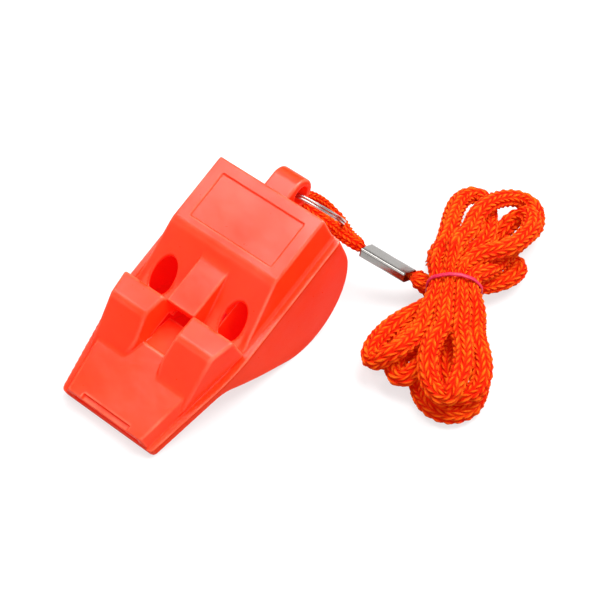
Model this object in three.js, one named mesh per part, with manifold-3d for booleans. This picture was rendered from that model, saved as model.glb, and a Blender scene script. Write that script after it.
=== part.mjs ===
// Pea whistle with lanyard: moulded body and cover, cork ball, split ring,
// crimp ferrule, knitted cord made up into a hank with an elastic band.
// Millimetres. X across the width, Y from the mouthpiece to the rear, Z up.
// The whistle stands on its belly and on the lower edge of its mouthpiece.
import * as THREE from 'three';
import Module from 'manifold-3d';
import { mergeVertices } from 'three/addons/utils/BufferGeometryUtils.js';

const wasm = await Module();
wasm.setup();

// Whistle in its own frame: x across, y along from the tip, z up from the seam.
const PITCH = 22.26;
const SEAM_GAP = 0.3;
const TIP_HALF = 13.3;
const BODY_HALF = 17.95;
const TAPER_END = 24.3;
const BODY_LENGTH = 61.05;
const WALL = 1.5;
const MOUTH_BOTTOM = -1.9;
const MOUTH_FLOOR = -0.9;
const MOUTH_TOP = 3.2;
const MOUTH_ROOF = 2.0;
const SLOT_HALF = 9.6;
const BARREL_Z = -3.5;
const BARREL_RADIUS = 15.7;
const BARREL_Y = BODY_LENGTH - BARREL_RADIUS;
const RAMP_ANGLE = 41.4;
const KNEE_RADIUS = 6;
const PARTITION_INNER = 7.0;
const PARTITION_OUTER = 8.1;
const FIN_FRONT = 20;

const BLOCK_FRONT = 13.9;
const BLOCK_CREST = 22.7;
const BLOCK_REAR = 28.5;
const BLOCK_CREST_TOP = 7.8;
const BLOCK_REAR_TOP = 6.8;
const WINDOW_LIP = 18.6;
const RIB_HALF = 3.9;
const RIB_TOP = 5.65;
const RIB_FRONT = 28.3;

// How far the cover's faces lie inside the body's outline, from the tip rearward.
const MOUTH_LEDGE = 0.8;
const MOUTH_TOP_INSET = 2.7;
const LIP_TOP_INSET = 3.15;
const BASE_FRONT = 6;
const BASE_FRONT_INSET = 2.05;
const BASE_INSET = 1.75;
const BLOCK_FRONT_INSET = 1.4;
const BLOCK_REAR_INSET = 1.05;
const CREST_INSET = 3.05;
const CREST_REAR_INSET = 2.15;

const DECK_TOP = 7.0;
const DECK_FRONT = 44.0;
const DECK_HALF = 15.0;
const DECK_FOOT_HALF = 16.0;
const SLANT_FOOT = 27.8;
const SLANT_FOOT_TOP = 0.5;
const PANEL_HALF = 11.7;
const PANEL_FRONT = DECK_FRONT + 2.6;
const PANEL_REAR = BODY_LENGTH - 2.75;
const PANEL_DEPTH = 0.35;
const HOLE_X = 10.2;
const HOLE_Y = 33.0;
const HOLE_HALF_WIDTH = 2.9;
const HOLE_HALF_LENGTH = 4.4;

const LUG_HALF = 3.5;
const LUG_REACH = 3.85;
const LUG_Y = BODY_LENGTH + LUG_REACH;
const LUG_Z = 0.9;
const LUG_RADIUS = 3.7;
const LUG_BORE = 2.3;
const LUG_BORE_Z = LUG_Z - 0.6;

const PEA_RADIUS = 4.6;
const PEA_GAP = 0.35;

const RING_RADIUS = 9.6;
const RING_WIRE = 0.8;
const RING_STEP = 0.95;
const RING_SEAT = 0.6;
const RING_SHIFT = -0.5;
const RING_ANGLE = 56.0;
const RING_TURN = 6.0;

// Cord: the small loop through the ring and the neck loop made up into a hank.
const LOOP_CORD = 2.6;
const HANK_CORD = 3.05;
const FERRULE_FRONT = [15.9, 67.8, 12.0];
const FERRULE_BACK = [25.5, 71.9, 6.8];
const FERRULE_LONG = 8.2;
const FERRULE_SHORT = 4.75;
const FERRULE_WALL = 0.45;
const SIGHT = [214, -183, 355];
const LOOP_OFFSET = 1.6;
const LEAD_OFFSET = 1.78;
const WAIST = [35.6, 74.8];
const WAIST_AXIS = -55;
const WAIST_HALF = 3.4;
const WAIST_PITCH = 3.75;
const FREE_PITCH = 4.05;
const CORD_FLOOR = 1.9;
const WAIST_FLOOR = 2.9;
const BAND_RUN = 0.5;
const BAND_WIDTH = 1.4;
const BAND_THICKNESS = 0.8;
const SLOTS = {
  a: [-1.5, 0], b: [-0.5, 0], c: [0.5, 0], d: [1.5, 0],
  e: [-1.5, 1], f: [-0.5, 1], g: [0.5, 1], h: [1.5, 1],
  k: [-1.5, 2], i: [-0.5, 2], j: [0.5, 2], l: [1.5, 2],
};
// Bights of the hank in the order the cord runs them: places it leaves and comes back
// to in the waist, side, direction in degrees, reach, half width, heights along it.
const BIGHTS = [
  ['a', 'b', 1, -95, 26.0, 3.6, 2.0, 2.0, 2.0],
  ['b', 'c', -1, 135, 20.0, 2.8, 2.0, 2.0, 2.0],
  ['c', 'd', 1, -54, 33.6, 7.2, 2.0, 2.0, 2.0],
  ['d', 'h', -1, 80, 21.0, 4.4, 3.0, 2.0, 4.0],
  ['h', 'l', 1, -46, 31.6, 4.4, 5.0, 4.0, 7.5],
  ['l', 'i', -1, 98, 36.0, 5.4, 7.0, 4.0, 9.0],
  ['i', 'j', 1, -57, 33.4, 4.3, 9.5, 6.0, 9.5],
  ['j', 'g', -1, 92, 30.6, 4.4, 9.0, 6.0, 6.0],
  ['g', 'f', 1, -78, 29.4, 3.9, 6.0, 4.0, 6.0],
  ['f', 'k', -1, 118, 33.4, 4.5, 6.0, 5.0, 8.0],
  ['k', 'e', 1, -92, 29.4, 3.8, 8.5, 4.5, 6.0],
];

const ORANGE = { color: '#fb4a2c', roughness: 0.32, metalness: 0 };
const STEEL = { color: '#b9b9b6', roughness: 0.25, metalness: 1 };
const CHROME = { color: '#d8d8d6', roughness: 0.12, metalness: 1 };
const CORK = { color: '#c79b66', roughness: 0.9, metalness: 0 };
const KNIT = { color: '#f5581c', roughness: 0.85, metalness: 0 };
const ELASTIC = { color: '#d81e5a', roughness: 0.6, metalness: 0 };

const radians = THREE.MathUtils.degToRad;

// Solid from a closed geometry.
function solid(geometry) {
  const plain = geometry.clone();
  plain.deleteAttribute('normal');
  plain.deleteAttribute('uv');
  const merged = mergeVertices(plain);
  const mesh = new wasm.Mesh({
    numProp: 3,
    vertProperties: new Float32Array(merged.attributes.position.array),
    triVerts: new Uint32Array(merged.index.array),
  });
  return new wasm.Manifold(mesh);
}

function geometryOf(shape) {
  const mesh = shape.getMesh();
  const geometry = new THREE.BufferGeometry();
  geometry.setAttribute('position', new THREE.BufferAttribute(new Float32Array(mesh.vertProperties), 3));
  geometry.setIndex(new THREE.BufferAttribute(new Uint32Array(mesh.triVerts), 1));
  geometry.computeVertexNormals();
  return geometry;
}

function join(list) {
  return list.slice(1).reduce((sum, next) => sum.add(next), list[0]);
}

// Prism standing on a plan outline of [x, y] points between two heights.
function planPrism(points, low, high) {
  const shape = new THREE.Shape(points.map(([x, y]) => new THREE.Vector2(x, y)));
  const geometry = new THREE.ExtrudeGeometry(shape, { depth: high - low, bevelEnabled: false });
  geometry.translate(0, 0, low);
  return solid(geometry);
}

// Prism with a side profile of [y, z] points between two x values.
function sidePrism(points, left, right) {
  const shape = new THREE.Shape(points.map(([y, z]) => new THREE.Vector2(y, z)));
  const geometry = new THREE.ExtrudeGeometry(shape, { depth: right - left, bevelEnabled: false });
  geometry.translate(0, 0, left);
  const turn = new THREE.Matrix4().set(0, 0, 1, 0, 1, 0, 0, 0, 0, 1, 0, 0, 0, 0, 0, 1);
  geometry.applyMatrix4(turn);
  return solid(geometry);
}

// Solid between four lower and four upper corners, each list anticlockwise from above.
function frustum(lower, upper) {
  const corners = [...lower, ...upper].flat();
  const faces = [0, 2, 1, 0, 3, 2, 4, 5, 6, 4, 6, 7];
  for (let side = 0; side < 4; side += 1) {
    const next = (side + 1) % 4;
    faces.push(side, next, next + 4, side, next + 4, side + 4);
  }
  const geometry = new THREE.BufferGeometry();
  geometry.setAttribute('position', new THREE.BufferAttribute(new Float32Array(corners), 3));
  geometry.setIndex(faces);
  return solid(geometry);
}

// Symmetric frustum across the width: ends given as [y, z, half width] for foot and top.
function wedge(frontFoot, rearFoot, frontTop, rearTop) {
  const pair = (front, rear) => [
    [-front[2], front[0], front[1]],
    [front[2], front[0], front[1]],
    [rear[2], rear[0], rear[1]],
    [-rear[2], rear[0], rear[1]],
  ];
  return frustum(pair(frontFoot, rearFoot), pair(frontTop, rearTop));
}

function arcPoints(centerY, centerZ, radius, from, to, steps) {
  const points = [];
  for (let step = 0; step <= steps; step += 1) {
    const angle = radians(from + ((to - from) * step) / steps);
    points.push([centerY + radius * Math.cos(angle), centerZ + radius * Math.sin(angle)]);
  }
  return points;
}

// Half width of the tapering plan at a distance from the tip.
function halfAt(y, inset) {
  const share = Math.min(y, TAPER_END) / TAPER_END;
  return TIP_HALF + (BODY_HALF - TIP_HALF) * share - inset;
}

function planOutline(inset, front, rear, corner) {
  const right = [
    [halfAt(0, inset) - corner, front],
    [halfAt(0, inset), front + corner],
    [halfAt(TAPER_END, inset), TAPER_END],
    [halfAt(TAPER_END, inset), rear - corner],
    [halfAt(TAPER_END, inset) - 0.3 * corner, rear - 0.3 * corner],
    [halfAt(TAPER_END, inset) - corner, rear],
  ];
  const left = right.map(([x, y]) => [-x, y]).reverse();
  return [...right, ...left];
}

// Side profile of the lower body, drawn in by an inset all round its belly.
function bellyProfile(inset, mouthBottom, front, top) {
  const angle = radians(RAMP_ANGLE);
  const radius = BARREL_RADIUS - inset;
  const touchY = BARREL_Y - radius * Math.sin(angle);
  const touchZ = BARREL_Z - radius * Math.cos(angle);
  const kneeY = touchY - (mouthBottom - touchZ) / Math.tan(angle);
  const reach = KNEE_RADIUS * Math.tan(angle / 2);
  const knee = arcPoints(kneeY - reach, mouthBottom - KNEE_RADIUS, KNEE_RADIUS, 90, 90 - RAMP_ANGLE, 5);
  const belly = arcPoints(BARREL_Y, BARREL_Z, radius, 270 - RAMP_ANGLE, 360, 26);
  return [[front, mouthBottom], ...knee, ...belly, [BARREL_Y + radius, top], [front, top]];
}

// Lower body: mouthpiece floor, belly, flat sides and the two chamber partitions.
function bodyShell() {
  const top = -SEAM_GAP / 2;
  const outer = sidePrism(bellyProfile(0, MOUTH_BOTTOM, 0, top), -BODY_HALF, BODY_HALF)
    .intersect(planPrism(planOutline(0, 0, BODY_LENGTH, 1.6), -30, 5));
  const hollow = sidePrism(bellyProfile(WALL, MOUTH_FLOOR, -1, 5), -BODY_HALF, BODY_HALF)
    .intersect(planPrism(planOutline(WALL, WALL, BODY_LENGTH - WALL, 0.8), -30, 5));
  const slot = planPrism([[-SLOT_HALF, -1], [SLOT_HALF, -1], [SLOT_HALF, 3], [-SLOT_HALF, 3]], MOUTH_FLOOR, 5);
  const shell = outer.subtract(hollow).subtract(slot);
  const fins = [-1, 1].map((side) => {
    const edges = [side * PARTITION_INNER, side * PARTITION_OUTER].sort((a, b) => a - b);
    const profile = bellyProfile(0.6, MOUTH_BOTTOM + 0.4, FIN_FRONT, -0.5);
    return sidePrism(profile, edges[0], edges[1]);
  });
  return join([shell, ...fins]);
}

// Raised block beside the window: sloped front, gently falling top, drafted sides.
function block(side) {
  const low = 1.0;
  const inner = [4.3, 2.7];
  const foot = [
    [inner[1], BLOCK_FRONT + 0.2, low],
    [halfAt(BLOCK_FRONT, BLOCK_FRONT_INSET), BLOCK_FRONT + 0.2, low],
    [halfAt(BLOCK_REAR, BLOCK_REAR_INSET), BLOCK_REAR, low],
    [inner[1], BLOCK_REAR, low],
  ];
  const crest = [
    [4.5, BLOCK_CREST, BLOCK_CREST_TOP],
    [halfAt(BLOCK_CREST, CREST_INSET), BLOCK_CREST, BLOCK_CREST_TOP],
    [halfAt(BLOCK_REAR, CREST_REAR_INSET), BLOCK_REAR, BLOCK_REAR_TOP],
    [4.4, BLOCK_REAR, BLOCK_REAR_TOP],
  ];
  const mirror = (list) => list.map(([x, y, z]) => [-x, y, z]).reverse();
  return side > 0 ? frustum(foot, crest) : frustum(mirror(foot), mirror(crest));
}

// Upper cover: mouthpiece top, blocks, rib, slanted face with sound holes, rear deck, lug.
function topCover() {
  const low = SEAM_GAP / 2;
  const mouth = wedge(
    [0.25, low, halfAt(0, MOUTH_LEDGE)], [BLOCK_REAR, low, halfAt(BLOCK_REAR, MOUTH_LEDGE)],
    [0.6, MOUTH_TOP, halfAt(0, MOUTH_TOP_INSET)], [WINDOW_LIP, MOUTH_TOP, halfAt(WINDOW_LIP, LIP_TOP_INSET)],
  );
  const baseHalf = [halfAt(BASE_FRONT, BASE_FRONT_INSET), halfAt(TAPER_END, BASE_INSET)];
  const base = planPrism([
    [baseHalf[0], BASE_FRONT], [baseHalf[1], TAPER_END],
    [DECK_FOOT_HALF, BLOCK_REAR + 2], [DECK_FOOT_HALF, BODY_LENGTH - 0.6],
    [-DECK_FOOT_HALF, BODY_LENGTH - 0.6], [-DECK_FOOT_HALF, BLOCK_REAR + 2],
    [-baseHalf[1], TAPER_END], [-baseHalf[0], BASE_FRONT],
  ], low, SLANT_FOOT_TOP + 0.3);
  const deck = wedge(
    [SLANT_FOOT, low, DECK_FOOT_HALF], [BODY_LENGTH - 0.3, low, DECK_FOOT_HALF],
    [DECK_FRONT, DECK_TOP, DECK_HALF], [BODY_LENGTH, DECK_TOP, DECK_HALF],
  );
  const rib = wedge(
    [RIB_FRONT, low, RIB_HALF + 0.4], [DECK_FRONT, low, RIB_HALF + 0.4],
    [RIB_FRONT, RIB_TOP, RIB_HALF], [DECK_FRONT, RIB_TOP, RIB_HALF],
  );
  const flange = planPrism(planOutline(0, 0, BODY_LENGTH, 1.6), low, 0.55)
    .subtract(planPrism(planOutline(2.6, -3, BODY_LENGTH - 2.6, 0.8), -1, 3));
  const lugEye = sidePrism(arcPoints(LUG_Y, LUG_Z, LUG_RADIUS, 0, 345, 23), -LUG_HALF, LUG_HALF);
  const lugBlock = sidePrism([
    [BODY_LENGTH - 2, LUG_Z - LUG_RADIUS + 2.9], [LUG_Y, LUG_Z - LUG_RADIUS],
    [LUG_Y, LUG_Z + LUG_RADIUS], [BODY_LENGTH - 2, LUG_Z + LUG_RADIUS],
  ], -LUG_HALF, LUG_HALF);
  const lugBore = sidePrism(arcPoints(LUG_Y, LUG_BORE_Z, LUG_BORE, 0, 345, 23), -LUG_HALF - 1, LUG_HALF + 1);
  const mouthHollow = wedge(
    [-1, -1, SLOT_HALF], [3, -1, SLOT_HALF],
    [-1, MOUTH_ROOF, SLOT_HALF], [3, MOUTH_ROOF, SLOT_HALF],
  ).add(wedge(
    [2, -1, halfAt(2, 2.8)], [BLOCK_REAR - WALL, -1, halfAt(BLOCK_REAR, 2.75)],
    [2, MOUTH_ROOF, halfAt(2, 4.3)], [BLOCK_REAR - WALL, MOUTH_ROOF, halfAt(BLOCK_REAR, 3.55)],
  ));
  const deckHollow = wedge(
    [SLANT_FOOT - 3, -1, DECK_FOOT_HALF - WALL],
    [BODY_LENGTH - WALL, -1, DECK_FOOT_HALF - WALL],
    [DECK_FRONT + 1.8, DECK_TOP - WALL, DECK_HALF - WALL],
    [BODY_LENGTH - WALL, DECK_TOP - WALL, DECK_HALF - WALL],
  );
  const blockHollows = [-1, 1].map((side) => {
    const rear = BLOCK_REAR - WALL;
    const footFront = BLOCK_FRONT + 3.1;
    const peakFront = BLOCK_CREST + 0.2;
    const foot = [
      [5.4, footFront, -1], [halfAt(footFront, BLOCK_FRONT_INSET + WALL + 0.45), footFront, -1],
      [halfAt(rear, BLOCK_REAR_INSET + WALL + 0.4), rear, -1], [5.4, rear, -1],
    ];
    const peak = [
      [6, peakFront, BLOCK_CREST_TOP - 1.7],
      [halfAt(peakFront, CREST_INSET + WALL + 0.1), peakFront, BLOCK_CREST_TOP - 1.7],
      [halfAt(rear, CREST_REAR_INSET + WALL + 0.3), rear, BLOCK_REAR_TOP - WALL],
      [6, rear, BLOCK_REAR_TOP - WALL],
    ];
    const mirror = (list) => list.map(([x, y, z]) => [-x, y, z]).reverse();
    return side > 0 ? frustum(foot, peak) : frustum(mirror(foot), mirror(peak));
  });
  const lug = lugEye.add(lugBlock).subtract(sidePrism([
    [BODY_LENGTH - 6, low - 8],
    [BODY_LENGTH + SEAM_GAP, low - 8],
    [BODY_LENGTH + SEAM_GAP, low],
    [BODY_LENGTH - 6, low],
  ], -LUG_HALF - 2, LUG_HALF + 2));
  const outer = join([mouth, base, deck, rib, flange, block(-1), block(1), lug]);
  const window = wedge(
    [WINDOW_LIP, -1, 2.7], [RIB_FRONT, -1, 2.7],
    [WINDOW_LIP, MOUTH_TOP + 3, 3.8], [RIB_FRONT, MOUTH_TOP + 3, 3.8],
  );
  const ramp = sidePrism([[WINDOW_LIP - 1.2, 1.6], [WINDOW_LIP - 1.2, 2.7], [WINDOW_LIP, 2.7],
    [26.6, -0.3], [26.3, -1.2], [25.7, -1.2]], -3.9, 3.9);
  const holes = [-1, 1].map((side) => {
    const points = [];
    for (let step = 0; step < 24; step += 1) {
      const angle = (2 * Math.PI * step) / 24;
      points.push([
        side * HOLE_X + HOLE_HALF_WIDTH * Math.cos(angle),
        HOLE_Y + HOLE_HALF_LENGTH * Math.sin(angle),
      ]);
    }
    return planPrism(points, -2, 12);
  });
  const panel = planPrism([
    [-PANEL_HALF, PANEL_FRONT], [PANEL_HALF, PANEL_FRONT], [PANEL_HALF, PANEL_REAR], [-PANEL_HALF, PANEL_REAR],
  ], DECK_TOP - PANEL_DEPTH, DECK_TOP + 3);
  const lip = planPrism([[-6.8, -1], [6.8, -1], [6.8, 1.9], [-6.8, 1.9]], MOUTH_TOP - 0.6, MOUTH_TOP + 3);
  const fins = [-1, 1].map((side) => {
    const edges = [side * PARTITION_INNER, side * PARTITION_OUTER].sort((a, b) => a - b);
    return sidePrism([
      [FIN_FRONT, low], [BODY_LENGTH - 0.8, low], [BODY_LENGTH - 0.8, DECK_TOP - 0.6],
      [DECK_FRONT + 1, DECK_TOP - 0.6], [SLANT_FOOT + 1, SLANT_FOOT_TOP + 0.2], [FIN_FRONT, MOUTH_TOP - 0.8],
    ], edges[0], edges[1]);
  });
  const hollowed = outer.subtract(join([mouthHollow, deckHollow, ...blockHollows]));
  return join([hollowed, ...fins])
    .subtract(join([window, ...holes, panel, lip, lugBore]))
    .add(ramp);
}

const vector = ([x, y, z]) => new THREE.Vector3(x, y, z);

// Evenly spaced points on a centripetal spline through the given points.
function spread(points, count) {
  const fine = [];
  const per = 20;
  const steps = [0];
  for (let k = 1; k < points.length; k += 1) {
    steps.push(steps[k - 1] + Math.sqrt(points[k].distanceTo(points[k - 1])));
  }
  for (let k = 0; k < points.length - 1; k += 1) {
    const last = points.length - 1;
    const before = k > 0 ? points[k - 1] : points[0].clone().multiplyScalar(2).sub(points[1]);
    const after = k + 2 <= last ? points[k + 2] : points[last].clone().multiplyScalar(2).sub(points[last - 1]);
    const t0 = k > 0 ? steps[k - 1] : 2 * steps[0] - steps[1];
    const t1 = steps[k];
    const t2 = steps[k + 1];
    const t3 = k + 2 <= last ? steps[k + 2] : 2 * steps[last] - steps[last - 1];
    const slope = (p, q, width) => q.clone().sub(p).divideScalar(width);
    const here = slope(points[k], points[k + 1], t2 - t1);
    const first = here.clone()
      .sub(slope(before, points[k + 1], t2 - t0))
      .add(slope(before, points[k], t1 - t0));
    const second = slope(points[k + 1], after, t3 - t2).sub(slope(points[k], after, t3 - t1)).add(here);
    first.multiplyScalar(t2 - t1);
    second.multiplyScalar(t2 - t1);
    for (let step = 0; step < per; step += 1) {
      const s = step / per;
      fine.push(points[k].clone().multiplyScalar(2 * s ** 3 - 3 * s ** 2 + 1)
        .addScaledVector(first, s ** 3 - 2 * s ** 2 + s)
        .addScaledVector(points[k + 1], -2 * s ** 3 + 3 * s ** 2)
        .addScaledVector(second, s ** 3 - s ** 2));
    }
  }
  fine.push(points[points.length - 1].clone());
  const run = [0];
  for (let k = 1; k < fine.length; k += 1) run.push(run[k - 1] + fine[k].distanceTo(fine[k - 1]));
  const total = run[run.length - 1];
  const even = [];
  let at = 0;
  for (let k = 0; k < count; k += 1) {
    const want = (total * k) / (count - 1);
    while (at < run.length - 2 && run[at + 1] < want) at += 1;
    const share = Math.min(1, Math.max(0, (want - run[at]) / (run[at + 1] - run[at])));
    even.push(fine[at].clone().lerp(fine[at + 1], share));
  }
  return even;
}

function meanStep(points) {
  let sum = 0;
  for (let k = 1; k < points.length; k += 1) sum += points[k].distanceTo(points[k - 1]);
  return sum / (points.length - 1);
}

// Half the step towards the middle of each point's neighbours, times a strength.
function bends(points, strength) {
  return points.map((point, k) => {
    if (k === 0 || k === points.length - 1) return new THREE.Vector3();
    return points[k - 1].clone().add(points[k + 1]).multiplyScalar(0.5).sub(point).multiplyScalar(strength);
  });
}

// Run of a point along the waist's axis and across it.
function atWaist(point) {
  const axis = radians(WAIST_AXIS);
  const [x, y] = [point.x - WAIST[0], point.y - WAIST[1]];
  return [x * Math.cos(axis) + y * Math.sin(axis), y * Math.cos(axis) - x * Math.sin(axis)];
}

// Distance kept between two runs of the hank, less where the band draws it in.
function pitchAt(point) {
  const along = Math.abs(atWaist(point)[0]);
  return WAIST_PITCH + (FREE_PITCH - WAIST_PITCH) * Math.min(1, along / 10);
}

// Settle the cord: runs push each other apart, stay smooth and rest on the table.
// Its ends and the places under the band are held.
function settle(start, skip, ends) {
  const points = start.map((point) => point.clone());
  const held = start.map((point, k) => (
    k < ends || k >= start.length - ends || Math.abs(atWaist(point)[0]) < 2.2
  ));
  for (let round = 0; round < 150; round += 1) {
    const early = round < 90;
    const moves = bends(points, early ? 0.12 : 0.03);
    const pitches = points.map(pitchAt);
    for (let i = 0; i < points.length; i += 1) {
      for (let j = i + skip; j < points.length; j += 1) {
        const want = 0.5 * (pitches[i] + pitches[j]);
        const apart = points[i].distanceTo(points[j]);
        if (apart < want) {
          const share = ((early ? 0.25 : 0.3) * (want - apart)) / apart;
          const push = points[j].clone().sub(points[i]).multiplyScalar(share);
          moves[i].sub(push);
          moves[j].add(push);
        }
      }
    }
    points.forEach((point, k) => {
      if (!held[k]) {
        if (early) point.addScaledVector(start[k].clone().sub(point), 0.02);
        point.add(moves[k]);
      }
      point.z = Math.max(point.z, CORD_FLOOR);
    });
  }
  return points;
}

function leastGap(points, skip, diameter) {
  let least = Infinity;
  for (let i = 0; i < points.length; i += 1) {
    for (let j = i + skip; j < points.length; j += 1) least = Math.min(least, points[i].distanceTo(points[j]));
  }
  return least - diameter;
}

// Ferrule axes: along it from the ring side, its long side, its short side.
function ferruleAxes() {
  const along = vector(FERRULE_BACK).sub(vector(FERRULE_FRONT)).normalize();
  const sight = vector(SIGHT).sub(vector(FERRULE_FRONT)).normalize();
  const long = sight.addScaledVector(along, -sight.dot(along)).normalize();
  return [along, long, along.clone().cross(long)];
}

// Route of the neck loop: out of the ferrule, through every bight, back into it.
function hankRoute(count) {
  const [along, long] = ferruleAxes();
  const back = vector(FERRULE_BACK);
  const low = back.clone().addScaledVector(long, -LEAD_OFFSET);
  const high = back.clone().addScaledVector(long, LEAD_OFFSET);
  const axis = radians(WAIST_AXIS);
  const slot = (name, run) => {
    const [column, row] = SLOTS[name];
    return new THREE.Vector3(
      WAIST[0] + Math.cos(axis) * run - Math.sin(axis) * column * WAIST_PITCH,
      WAIST[1] + Math.sin(axis) * run + Math.cos(axis) * column * WAIST_PITCH,
      WAIST_FLOOR + row * WAIST_PITCH,
    );
  };
  const route = [low.clone().addScaledVector(along, -1.5), low.clone(), low.clone().addScaledVector(along, 1.6)];
  BIGHTS.forEach(([from, to, side, direction, reach, half, first, tip, second]) => {
    route.push(slot(from, -side * WAIST_HALF), slot(from, -side * 1.5), slot(from, side * 1.5));
    route.push(slot(from, side * WAIST_HALF));
    const turn = radians(direction);
    const [outX, outY] = [Math.cos(turn), Math.sin(turn)];
    const columns = SLOTS[from][0] - SLOTS[to][0];
    const facing = Math.sin(axis) * outY + Math.cos(axis) * outX;
    const leg = Math.sign(columns === 0 ? (SLOTS[from][1] - SLOTS[to][1]) * side : facing * columns);
    const place = (share, spreadShare, z, sign) => route.push(new THREE.Vector3(
      WAIST[0] + outX * reach * share - outY * half * spreadShare * sign,
      WAIST[1] + outY * reach * share + outX * half * spreadShare * sign,
      z,
    ));
    place(0.42, 0.85, first, leg);
    place(0.7, 1, first, leg);
    place(0.92, 0.66, 0.5 * (first + tip), leg);
    place(1, 0, tip, leg);
    place(0.92, 0.66, 0.5 * (second + tip), -leg);
    place(0.7, 1, second, -leg);
    place(0.42, 0.85, second, -leg);
  });
  route.push(slot('e', WAIST_HALF), slot('e', 1.5), slot('e', -1.5), slot('e', -WAIST_HALF));
  route.push(high.clone().addScaledVector(along, 1.6), high.clone(), high.clone().addScaledVector(along, -1.5));
  const points = spread(route, count);
  const step = meanStep(points);
  const skip = Math.ceil((2.4 * FREE_PITCH) / step);
  const settled = settle(points, skip, Math.ceil(3.4 / step));
  console.log('hank length', (meanStep(settled) * (count - 1)).toFixed(1),
    'least gap', leastGap(settled, skip, HANK_CORD).toFixed(2));
  return settled;
}

// Whistle frame to table frame, before the object is centred.
function lowestOfWhistle() {
  const pitch = radians(PITCH);
  return BARREL_Y * Math.sin(pitch) + BARREL_Z * Math.cos(pitch) - BARREL_RADIUS;
}

function toTable(x, y, z) {
  const pitch = radians(PITCH);
  return new THREE.Vector3(
    x,
    y * Math.cos(pitch) - z * Math.sin(pitch),
    y * Math.sin(pitch) + z * Math.cos(pitch) - lowestOfWhistle(),
  );
}

// Point given in the split ring's own plane, from the middle of the lug bore.
function ringPoint(across, down, off) {
  const tilt = radians(RING_ANGLE);
  const turn = radians(RING_TURN);
  const side = across * Math.cos(turn) - off * Math.sin(turn);
  const lift = across * Math.sin(turn) + off * Math.cos(turn);
  const bore = toTable(0, LUG_Y, LUG_BORE_Z);
  return new THREE.Vector3(
    bore.x + side,
    bore.y + down * Math.cos(tilt) + lift * Math.sin(tilt),
    bore.z - down * Math.sin(tilt) + lift * Math.cos(tilt),
  );
}

// Route of the small loop: both ends in the ferrule, the bight through the ring.
function loopRoute(count) {
  const [along, long] = ferruleAxes();
  const front = vector(FERRULE_FRONT);
  const high = front.clone().addScaledVector(long, LOOP_OFFSET);
  const low = front.clone().addScaledVector(long, -LOOP_OFFSET);
  const route = [
    low.clone().addScaledVector(along, 1.5),
    low.clone(),
    low.clone().addScaledVector(along, -1.8),
    ringPoint(11.0, 17.0, -2.8),
    ringPoint(8.4, 18.7, -1.9),
    ringPoint(5.6, 20.5, -0.4),
    ringPoint(3.0, 21.3, 1.2),
    ringPoint(0.6, 19.2, 2.7),
    ringPoint(-1.4, 14.6, 2.5),
    ringPoint(-2.4, 11.2, 0.8),
    ringPoint(-1.7, 9.8, -1.4),
    ringPoint(1.2, 10.4, -2.7),
    ringPoint(5.6, 12.6, -3.1),
    ringPoint(10.0, 13.6, -3.4),
    high.clone().addScaledVector(along, -1.8),
    high.clone(),
    high.clone().addScaledVector(along, 1.5),
  ];
  const points = spread(route, count);
  for (let round = 0; round < 10; round += 1) {
    bends(points, 0.5).forEach((move, k) => {
      if (k > 4 && k < points.length - 5) points[k].add(move);
    });
  }
  console.log('small loop length', (meanStep(points) * (count - 1)).toFixed(1));
  return points;
}

// Tube of a given diameter along points, closed at both ends.
function tube(points, diameter, sides) {
  const path = new THREE.CatmullRomCurve3(points, false, 'centripetal');
  path.arcLengthDivisions = points.length * 4;
  const shape = new THREE.Shape();
  for (let side = 0; side < sides; side += 1) {
    const angle = (2 * Math.PI * side) / sides;
    const x = (diameter / 2) * Math.cos(angle);
    const y = (diameter / 2) * Math.sin(angle);
    if (side === 0) shape.moveTo(x, y);
    else shape.lineTo(x, y);
  }
  return new THREE.ExtrudeGeometry(shape, { steps: points.length - 1, extrudePath: path, bevelEnabled: false });
}

// Split ring: flat wire in two turns, one step over between them.
function splitRing() {
  const points = [];
  const count = 84;
  for (let k = 0; k <= count; k += 1) {
    const turn = (k / count) * 2 - 1;
    const angle = turn * 2 * Math.PI * 0.985 + Math.PI * 0.9;
    const rise = Math.max(-1, Math.min(1, turn / 0.1));
    points.push(ringPoint(
      RING_RADIUS * Math.cos(angle),
      RING_RADIUS + RING_SEAT + RING_RADIUS * Math.sin(angle),
      RING_SHIFT + (rise * RING_STEP) / 2,
    ));
  }
  return tube(points, RING_WIRE, 6);
}

// Oval outline in the ferrule's section.
function ovalShape(long, short) {
  const shape = new THREE.Shape();
  const radius = short / 2;
  const straight = long / 2 - radius;
  shape.absarc(straight, 0, radius, -Math.PI / 2, Math.PI / 2, false);
  shape.absarc(-straight, 0, radius, Math.PI / 2, (3 * Math.PI) / 2, false);
  return shape;
}

function ferrule() {
  const [along, long, short] = ferruleAxes();
  const front = vector(FERRULE_FRONT);
  const length = front.distanceTo(vector(FERRULE_BACK));
  const tubeOf = (inset, from, to) => {
    const shape = ovalShape(FERRULE_LONG - 2 * inset, FERRULE_SHORT - 2 * inset);
    const geometry = new THREE.ExtrudeGeometry(shape, { depth: to - from, bevelEnabled: false, curveSegments: 10 });
    geometry.translate(0, 0, from);
    const axes = new THREE.Matrix4().makeBasis(long, short.clone(), along).setPosition(front);
    if (axes.determinant() < 0) axes.makeBasis(long, short.clone().negate(), along).setPosition(front);
    geometry.applyMatrix4(axes);
    return solid(geometry);
  };
  const crimp = tubeOf(0.0, length * 0.36, length * 0.64);
  return tubeOf(0, 0, length)
    .subtract(tubeOf(FERRULE_WALL, -1, length + 1))
    .add(crimp.subtract(tubeOf(FERRULE_WALL + 0.35, -1, length + 1)));
}

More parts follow.
